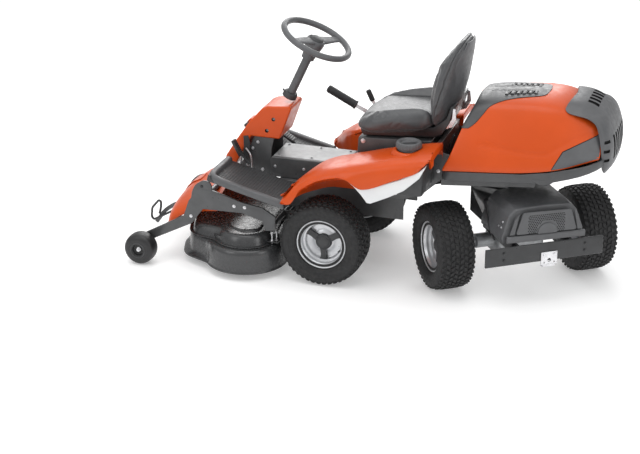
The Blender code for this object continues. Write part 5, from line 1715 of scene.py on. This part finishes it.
def deck_shells():
    lip = [(0.0355, -0.0020), (0.0375, -0.0032), (0.0405, -0.0026), (0.0430, 0.0000),
           (0.0500, 0.0002), (0.060, 0.0004), (0.100, 0.0020), (0.124, 0.0034), (0.138, 0.0070),
           (0.1465, 0.0140), (0.1498, 0.0230)]
    shell = pressed("deck_pan", lip, 0.0345, 0.766, DECK_PAINT, ("deck_shell",), step_back=0.026)
    bake(shell)
    drills = []
    for x, y in (DRUM, (DRUM[0], -DRUM[1]), (0.580, 0.0)):
        drill = turned("spindle_hole", [(0.0, 0.11), (0.016, 0.11), (0.016, 0.19), (0.0, 0.19)], 32)
        drill.transform(Matrix.Translation((x, y, 0)))
        drills.append(drill)
    evened(cut(shell, drills))
    hem = [(*point, 0.0375) for point in deck_plan(0.0372, 0.7687)]
    rod("deck_pan_rolled_lip", hem, 0.0030, DECK_PAINT, "deck", steps=0, closed=True)
    mound = [(0.1530, -0.002), (0.1560, 0.000), (0.170, 0.004), (0.186, 0.010), (0.196, 0.016),
             (0.2030, 0.024), (0.2062, 0.034)]
    cover = pressed("belt_cover_skin", mound, -0.018, 0.720, DECK_PAINT, ("belt_cover",))
    mouth = slab("belt_mouth", (0.262, -0.060, 0.162), (0.335, 0.060, 0.196))
    evened(cut(bake(cover), [mouth]))
    flange = [(0.1515, -0.0100), (0.1535, -0.0120), (0.1550, -0.0105), (0.1550, 0.004)]
    pressed("belt_cover_flange", flange, -0.012, 0.724, DECK_PAINT, (), 0.0015)
    for side, hand in ((1, "left"), (-1, "right")):
        box = [(0.330, side * 0.175), (0.500, side * 0.175), (0.520, side * 0.255),
               (0.490, side * 0.330), (0.400, side * 0.372), (0.318, side * 0.330)]
        bm = prism_into(bmesh.new(), "xy", rounded_corners(box, [0.03] * 6, 5), 0.200, 0.2145)
        for corner in bm.verts:
            if corner.co.z > 0.21:
                corner.co.x = 0.41 + (corner.co.x - 0.41) * 0.86
                corner.co.y = side * 0.27 + (corner.co.y - side * 0.27) * 0.86
        rounded(piece(f"belt_cover_box_{hand}", to_mesh(f"belt_box_{hand}_mesh", bm), DECK_PAINT,
                      "deck"), 0.006, 4)
        scoop = [(0.440, side * 0.395), (0.470, side * 0.330), (0.560, side * 0.300),
                 (0.585, side * 0.322), (0.520, side * 0.375)]
        bm = prism_into(bmesh.new(), "xy", rounded_corners(scoop, [0.02] * 5, 5), 0.150, 0.176)
        rounded(piece(f"deck_scoop_{hand}", to_mesh(f"deck_scoop_{hand}_mesh", bm), DECK_PAINT,
                      "deck"), 0.008, 4)
        adjuster(side, hand)
        bolts(f"belt_cover_bolts_{hand}", [(0.690, side * 0.170, 0.198), (0.560, side * 0.270, 0.190)],
              (0, 0, 1), 0.0065, "deck")


def adjuster(side, hand):
    """Height link at the drum's rear: a bent bracket with two threaded bolts and nuts."""
    plate = [(0.232, 0.196), (0.268, 0.196), (0.282, 0.210), (0.282, 0.158), (0.270, 0.1525),
             (0.224, 0.1525)]
    low, high = sorted((side * 0.300, side * 0.306))
    rounded(piece(f"adjuster_plate_{hand}", prism(f"adjuster_{hand}_mesh", "xz", plate, low, high),
                  BLACK_PAINT, "deck"), 0.002, 2)
    for k, (x, y) in enumerate(((0.244, 0.316), (0.262, 0.331))):
        thread = [(0.0, 0.150)]
        for turn in range(20):
            thread += [(0.0046, 0.150 + turn * 0.003), (0.0040, 0.1515 + turn * 0.003)]
        thread += [(0.0, 0.210)]
        where = MACHINE @ Matrix.Translation((x, side * y, 0.002))
        piece(f"adjuster_thread_{hand}_{k}", turned(f"adjuster_thread_{hand}_{k}_mesh", thread, 20),
              ZINC, "deck", where)
    bolts(f"adjuster_nuts_{hand}", [(0.244, side * 0.316, 0.168), (0.262, side * 0.331, 0.168),
                                    (0.244, side * 0.316, 0.206), (0.262, side * 0.331, 0.206)],
          (0, 0, 1), 0.0075, "deck")
    shelf = [(0.228, side * 0.298), (0.282, side * 0.298), (0.282, side * 0.345),
             (0.228, side * 0.345)]
    mesh = prism(f"adjuster_shelf_{hand}_mesh", "xy", shelf, 0.162, 0.168)
    rounded(piece(f"adjuster_shelf_{hand}", mesh, BLACK_PAINT, "deck"), 0.0015, 2)


def deck_front_cover():
    """Orange nose cover: a swept skin with soft corners, open behind and below."""
    front = [(0.8260, 0.220), (0.822, 0.243), (0.804, 0.272), (0.776, 0.298), (0.735, 0.318),
             (0.690, 0.333), (0.620, 0.346), (0.560, 0.352)]
    spans = ((0.0, 0.0), (0.10, 0.004), (0.18, 0.012), (0.245, 0.026), (0.285, 0.042),
             (0.308, 0.060), (0.319, 0.076), (0.3225, 0.090))
    rows = []
    for y, drop in spans:
        row = [(x - 0.35 * drop, y, z - drop * 0.8) for x, z in front]
        lip = (row[0][0] - 0.008, y, max(row[0][2] - 0.036, 0.150))
        knee = (row[0][0] + 0.0005, y, row[0][2] - 0.010)
        rows.append([lip, knee] + row)
    mesh = skin_mesh("nose_cover_mesh", rows, (0.65, 0.0, 0.20))
    cover = piece("nose_cover_skin", mesh, ORANGE, "deck", stands_for=("deck_front_cover",))
    bake(subdivided(mirrored_half(cover), 2))
    rounded(thickened(cover, 0.003), 0.0009, 2, 60)
    strip = [[(x + 0.0028, y, z + 0.0014) for x, z in front[1:5]] for y in
             (-0.045, -0.040, 0.040, 0.045)]
    ridge = skin_mesh("nose_cover_ridge_mesh", strip, (0.65, 0, 0.2))
    rounded(thickened(piece("nose_cover_ridge", ridge, ORANGE, "deck"), 0.004), 0.0015, 3)


def deck_frame():
    softened("deck_frame", DARK_STEEL, 0.0022, 3)
    ear = [(0.552, 0.385), (0.553, 0.420), (0.566, 0.439), (0.596, 0.442), (0.636, 0.416),
           (0.654, 0.380), (0.662, 0.330), (0.600, 0.330)]
    for side, hand in ((1, "left"), (-1, "right")):
        low, high = sorted((side * 0.3472, side * 0.3568))
        mesh = prism(f"frame_ear_{hand}_mesh", "xz", rounded_corners(ear, [0.014] * 8, 5), low, high)
        rounded(piece(f"frame_ear_{hand}", mesh, DARK_STEEL, "deck"), 0.0022, 3)
        spots = [(0.662, 0.252), (0.441, 0.330), (0.388, 0.330)]
        bolts(f"deck_frame_bolts_{hand}", [(x, side * 0.357, z) for x, z in spots], (0, side, 0),
              0.0058, "deck")
        bolts(f"frame_ear_bolt_{hand}", [(0.603, side * 0.357, 0.410)], (0, side, 0), 0.0062, "deck",
              BLACK_PAINT)
    bar = [(0.828, 0.040, 0.176), (0.870, 0.040, 0.168), (0.905, 0.040, 0.148),
           (0.940, 0.040, 0.118), (0.965, 0.040, 0.084), (0.985, 0.040, 0.056)]
    rows = []
    line = smooth_line(bar, 5)
    for k, (x, y, z) in enumerate(line):
        before, after = Vector(line[max(k - 1, 0)]), Vector(line[min(k + 1, len(line) - 1)])
        along = (after - before).normalized()
        up = Vector((-along.z, 0, along.x))
        here = Vector((x, y, z))
        rows.append([here + up * h + Vector((0, w, 0)) for w, h in
                     ((-0.006, -0.010), (0.006, -0.010), (0.006, 0.010), (-0.006, 0.010))])
    mesh = grid_mesh("nose_bar_mesh", rows, around=True, caps=True)
    rounded(piece("nose_bar", mesh, DARK_STEEL, "deck"), 0.002, 3)


def lift_handle():
    points = [(0.828, 0.060, 0.168), (0.930, 0.060, 0.110), (0.990, 0.060, 0.075),
              (1.002, 0.062, 0.090), (0.996, 0.064, 0.140), (0.958, 0.066, 0.185),
              (0.944, 0.070, 0.182), (0.944, 0.075, 0.150), (0.950, 0.080, 0.120)]
    flat = [Vector(point) for point in points]
    softened_line = [flat[0]]
    for before, here, after in zip(flat, flat[1:], flat[2:]):
        first = here + (before - here).normalized() * min(0.010, (before - here).length * 0.4)
        last = here + (after - here).normalized() * min(0.010, (after - here).length * 0.4)
        for step in range(5):
            t = step / 4
            softened_line.append(first * (1 - t) ** 2 + here * 2 * t * (1 - t) + last * t * t)
    softened_line.append(flat[-1])
    rod("lift_handle_wire", [tuple(point) for point in softened_line], 0.0058, BLACK_PAINT, "deck",
        steps=0, stands_for=("lift_handle",))


def blades():
    """Blade bars with twisted, sharpened ends on their spindles."""
    for name in ("blade_left", "blade_centre", "blade_right"):
        centre = JOINTS[f"{name}_spin"]["pos_m"]
        rows = []
        reach = 0.1575
        for k in range(41):
            x = -reach + 2 * reach * k / 40
            share = abs(x) / reach
            lift = 0.010 * max(0.0, (share - 0.72) / 0.28) ** 2
            edge = 0.0028 if share < 0.55 else 0.0010
            hand = 1 if x > 0 else -1
            rows.append([(x, -0.0245 * hand, -edge), (x, -0.012 * hand, -0.0028),
                         (x, 0.0245 * hand, -0.0028 + lift), (x, 0.0245 * hand, 0.0028 + lift),
                         (x, -0.012 * hand, 0.0028), (x, -0.0245 * hand, edge)])
        half = len(rows) // 2
        for part, chunk in (("a", rows[:half + 1]), ("b", rows[half + 1:])):
            mesh = grid_mesh(f"{name}_{part}_mesh", chunk, around=True, caps=True)
            stands = (name,) if part == "a" else ()
            piece(f"{name}_bar_{part}", mesh, ZINC, name, Matrix.Translation(centre), stands, False)
        hub = [(0.0, -0.0085), (0.0100, -0.0085), (0.0150, -0.0040), (0.0210, -0.0036),
               (0.0210, 0.0050), (0.0120, 0.0080), (0.0120, 0.0775), (0.0, 0.0775)]
        piece(f"{name}_spindle", turned(f"{name}_spindle_mesh", hub, 36), DARK_STEEL, name,
              Matrix.Translation(centre))
        bolts(f"{name}_bolt", [(0, 0, -0.0075)], (0, 0, -1), 0.0075, name, ZINC,
              Matrix.Translation(centre))


# ---------------------------------------------------------------- controls

def lever(name, root, tip, width, grip_radius, grip_length, knob=False):
    """Brushed flat bar with a ribbed, slightly oval grip and an end button."""
    start, end = Vector(root), Vector(tip)
    span = end - start
    turn = span.to_track_quat("X", "Z").to_matrix().to_4x4()
    place = MACHINE @ Matrix.Translation(start) @ turn
    half = width / 2
    outline = [(-0.012, -half * 0.6), (-0.006, -half), (span.length - 0.02, -half),
               (span.length - 0.02, half), (-0.006, half), (-0.012, half * 0.6)]
    bar = prism(f"{name}_bar_mesh", "xz", outline, -0.0025, 0.0025)
    rounded(piece(f"{name}_bar", bar, BRUSHED, name, place, (name,)), 0.0007, 2)
    profile = [(0.0, 0.0), (grip_radius * 0.80, 0.0), (grip_radius * 0.95, 0.002)]
    ribs = max(int(grip_length / 0.0085), 2)
    for k in range(ribs):
        low = 0.006 + (grip_length - 0.016) * k / ribs
        pitch = (grip_length - 0.016) / ribs
        profile += [(grip_radius * 0.90, low), (grip_radius * 0.985, low + pitch * 0.25),
                    (grip_radius * 0.985, low + pitch * 0.70)]
    profile += [(grip_radius * 0.93, grip_length - 0.006), (grip_radius * 0.80, grip_length - 0.001),
                (0.0, grip_length)]
    grip = turned(f"{name}_grip_mesh", profile, 40)
    grip.transform(Matrix.Diagonal((0.92, 1.0, 1.0, 1.0)))
    where = place @ Matrix.Translation((span.length - grip_length, 0, 0)) @ Matrix.Rotation(
        pi / 2, 4, "Y")
    piece(f"{name}_handgrip", grip, GRIP, name, where)
    if knob:
        button = [(0.0, 0.0095), (0.0060, 0.0090), (0.0085, 0.0060), (0.0085, -0.004), (0.0, -0.004)]
        at_tip = where @ Matrix.Translation((0, 0, grip_length - 0.0075))
        piece(f"{name}_button", turned(f"{name}_button_mesh", button, 32), CHARCOAL, name, at_tip)
        collar = [(grip_radius * 0.80, -0.002), (grip_radius * 1.0, -0.002),
                  (grip_radius * 1.0, 0.006), (grip_radius * 0.80, 0.006)]
        piece(f"{name}_collar", turned(f"{name}_collar_mesh", collar, 40, closed=True), CHARCOAL,
              name, where)


def controls():
    lever("lift_lever", (-0.200, -0.250, 0.566), (0.175, -0.250, 0.753), 0.022, 0.0218, 0.162, True)
    lever("height_lever", (-0.100, -0.300, 0.570), (-0.014, -0.300, 0.748), 0.016, 0.0145, 0.060)
    lever("throttle_lever", (-0.350, -0.340, 0.640), (-0.335, -0.340, 0.722), 0.012, 0.009, 0.028)
    softened("ignition_key", CHARCOAL, 0.0008, 2)
    for node, width in (("brake_pedal", 0.038), ("forward_pedal", 0.060), ("reverse_pedal", 0.055)):
        softened(node, BLACK_PAINT, 0.0015, 3)
        pads = {"brake_pedal": (0.500, 0.150, 0.545, 0.085),
                "forward_pedal": (0.470, -0.330, 0.510, 0.110),
                "reverse_pedal": (0.375, -0.240, 0.482, 0.070)}
        x, y, z, length = pads[node]
        tilt = radians(-62 if node == "brake_pedal" else -32)
        where = MACHINE @ Matrix.Translation((x, y, z)) @ Matrix.Rotation(tilt, 4, "Y")
        bm = bmesh.new()
        ribs = int(length / 0.0105)
        for k in range(ribs):
            middle_x = -length / 2 + length * (k + 0.5) / ribs
            rib = [(middle_x - 0.0038, 0.005), (middle_x + 0.0038, 0.005),
                   (middle_x + 0.0028, 0.0085), (middle_x - 0.0028, 0.0085)]
            prism_into(bm, "xz", rib, -width / 2 + 0.004, width / 2 - 0.004)
        rounded(piece(f"{node}_pad_ribs", to_mesh(f"{node}_ribs_mesh", bm), GRIP, node, where),
                0.0008, 2)


def slot_trims():
    """Raised dark bezels round the lever slots and the key in the right fender."""
    for name, x0, x1, y in (("lift", -0.235, -0.020, -0.250), ("height", -0.175, -0.020, -0.300),
                            ("throttle", -0.395, -0.295, -0.340)):
        half = 0.0135 if name == "lift" else (0.0125 if name == "height" else 0.0085)
        rows = []
        for k in range(17):
            x = x1 + 0.004 + (x0 - x1 - 0.008) * k / 16
            top = smooth_value(x, FENDER_TOP) + 0.0035
            rows.append([(x, y - half, top), (x, y - half + 0.0045, top + 0.0015)])
        other = [[(x, 2 * y - a, z) for (x, a, z) in reversed(row)] for row in rows]
        for label, band in (("near", rows), ("far", other)):
            mesh = skin_mesh(f"{name}_bezel_{label}_mesh", band, (-0.15, y, 0.3))
            rounded(thickened(piece(f"{name}_bezel_{label}", mesh, CHARCOAL, "chassis"), 0.004),
                    0.001, 2)
    top = smooth_value(-0.445, FENDER_TOP)
    ring = smooth_line([(0.0100, top - 0.006), (0.0105, top + 0.0035), (0.0150, top + 0.0045),
                        (0.0190, top + 0.0010), (0.0195, top - 0.006)], 3)
    piece("key_bezel", turned("key_bezel_mesh", ring, 40), CHARCOAL, "chassis",
          MACHINE @ Matrix.Translation((-0.445, -0.300, 0)))


def chassis():
    for node in ("main_frame", "front_axle", "engine_frame"):
        softened(node, DARK_STEEL, 0.002, 3)
    for side, hand in ((1, "left"), (-1, "right")):
        spots = [(-0.338, 0.425), (-0.276, 0.430), (-0.200, 0.440), (-0.438, 0.497)]
        bolts(f"frame_bolts_{hand}", [(x, side * 0.110, z) for x, z in spots], (0, side, 0), 0.007,
              "chassis")
        gusset = [(-0.455, 0.640), (-0.505, 0.655), (-0.560, 0.640), (-0.555, 0.560),
                  (-0.500, 0.505), (-0.420, 0.430), (-0.330, 0.400), (-0.262, 0.402),
                  (-0.262, 0.440), (-0.330, 0.480), (-0.410, 0.540)]
        low, high = sorted((side * 0.1855, side * 0.1915))
        mesh = prism(f"gusset_{hand}_mesh", "xz", rounded_corners(gusset, [0.012] * len(gusset), 4),
                     low, high)
        rounded(piece(f"gusset_{hand}", mesh, DARK_STEEL, "chassis"), 0.0018, 2)
        spots = [(-0.300, 0.428), (-0.355, 0.455), (-0.425, 0.500), (-0.500, 0.560)]
        bolts(f"gusset_bolts_{hand}", [(x, side * 0.1915, z) for x, z in spots], (0, side, 0),
              0.0065, "chassis")


# ---------------------------------------------------------------- studio and camera

def plain_finish(name, colour, roughness, glow):
    finish = bpy.data.materials.new(name)
    finish.use_nodes = True
    shader = finish.node_tree.nodes["Principled BSDF"]
    shader.inputs["Base Color"].default_value = (*colour, 1.0)
    shader.inputs["Roughness"].default_value = roughness
    shader.inputs["Emission Color"].default_value = (1.0, 1.0, 1.0, 1.0)
    shader.inputs["Emission Strength"].default_value = glow
    return finish


def soft_light(name, where, aim, size, power, colour=(1, 1, 1)):
    light = bpy.data.lights.new(name, "AREA")
    light.shape = "RECTANGLE"
    light.size, light.size_y = size
    light.energy = power
    light.color = colour
    obj = bpy.data.objects.new(name, light)
    bpy.context.scene.collection.objects.link(obj)
    obj.location = where
    obj.rotation_euler = (Vector(aim) - Vector(where)).to_track_quat("-Z", "Y").to_euler()
    return obj


def studio():
    floor = bpy.data.objects.new("studio_floor", slab("studio_floor_mesh", (-30, -30, -0.02),
                                                      (30, 30, -0.0003)))
    floor.data.materials.append(plain_finish("studio_floor_paint", (0.86, 0.86, 0.86), 0.75, 0.26))
    bpy.context.scene.collection.objects.link(floor)
    world = bpy.data.worlds.new("studio_sky")
    world.use_nodes = True
    nodes, links = world.node_tree.nodes, world.node_tree.links
    direction = nodes.new("ShaderNodeTexCoord").outputs["Generated"]
    split = nodes.new("ShaderNodeSeparateXYZ")
    links.new(direction, split.inputs["Vector"])
    nodes["Background"].inputs["Color"].default_value = (1.0, 1.0, 1.0, 1.0)
    dome = nodes.new("ShaderNodeMapRange")
    dome.inputs["To Min"].default_value = 0.42
    dome.inputs["To Max"].default_value = 1.15
    links.new(split.outputs["Z"], dome.inputs["Value"])
    links.new(dome.outputs["Result"], nodes["Background"].inputs["Strength"])
    bpy.context.scene.world = world
    soft_light("overhead_box", (0.2, 0.6, 3.6), (0, 0, 0.4), (3.2, 2.2), 32)
    soft_light("key_box", (2.6, 3.4, 2.4), (0.2, 0, 0.4), (1.6, 2.0), 24)
    soft_light("rear_box", (-3.2, 2.0, 1.8), (-0.5, 0, 0.5), (1.2, 1.8), 15)
    soft_light("back_box", (1.1, -3.6, 2.1), (-0.1, 0, 0.5), (3.4, 1.6), 70)
    bpy.context.scene.view_settings.view_transform = "Standard"


def camera():
    azimuth, elevation, distance = radians(18.3), radians(22.9), 8.0
    target = Vector((AXLE_X + 0.133, 0.0, 0.122))
    offset = Vector((-sin(azimuth) * cos(elevation), cos(azimuth) * cos(elevation), sin(elevation)))
    lens = bpy.data.cameras.new("photo_camera")
    lens.lens = 92.0
    lens.sensor_width = 36.0
    view = bpy.data.objects.new("photo_camera", lens)
    bpy.context.scene.collection.objects.link(view)
    view.location = target + offset * distance
    view.rotation_euler = (-offset).to_track_quat("-Z", "Y").to_euler()
    bpy.context.scene.camera = view


def main():
    road_wheels()
    gauge_wheels()
    steering_wheel()
    console()
    pedal_rods()
    tunnel()
    footplates()
    fenders()
    fuel_cap()
    seat()
    hood()
    rear_grille()
    engine_bay()
    bogie()
    deck_shells()
    deck_front_cover()
    deck_frame()
    lift_handle()
    blades()
    controls()
    slot_trims()
    chassis()
    studio()
    camera()


main()
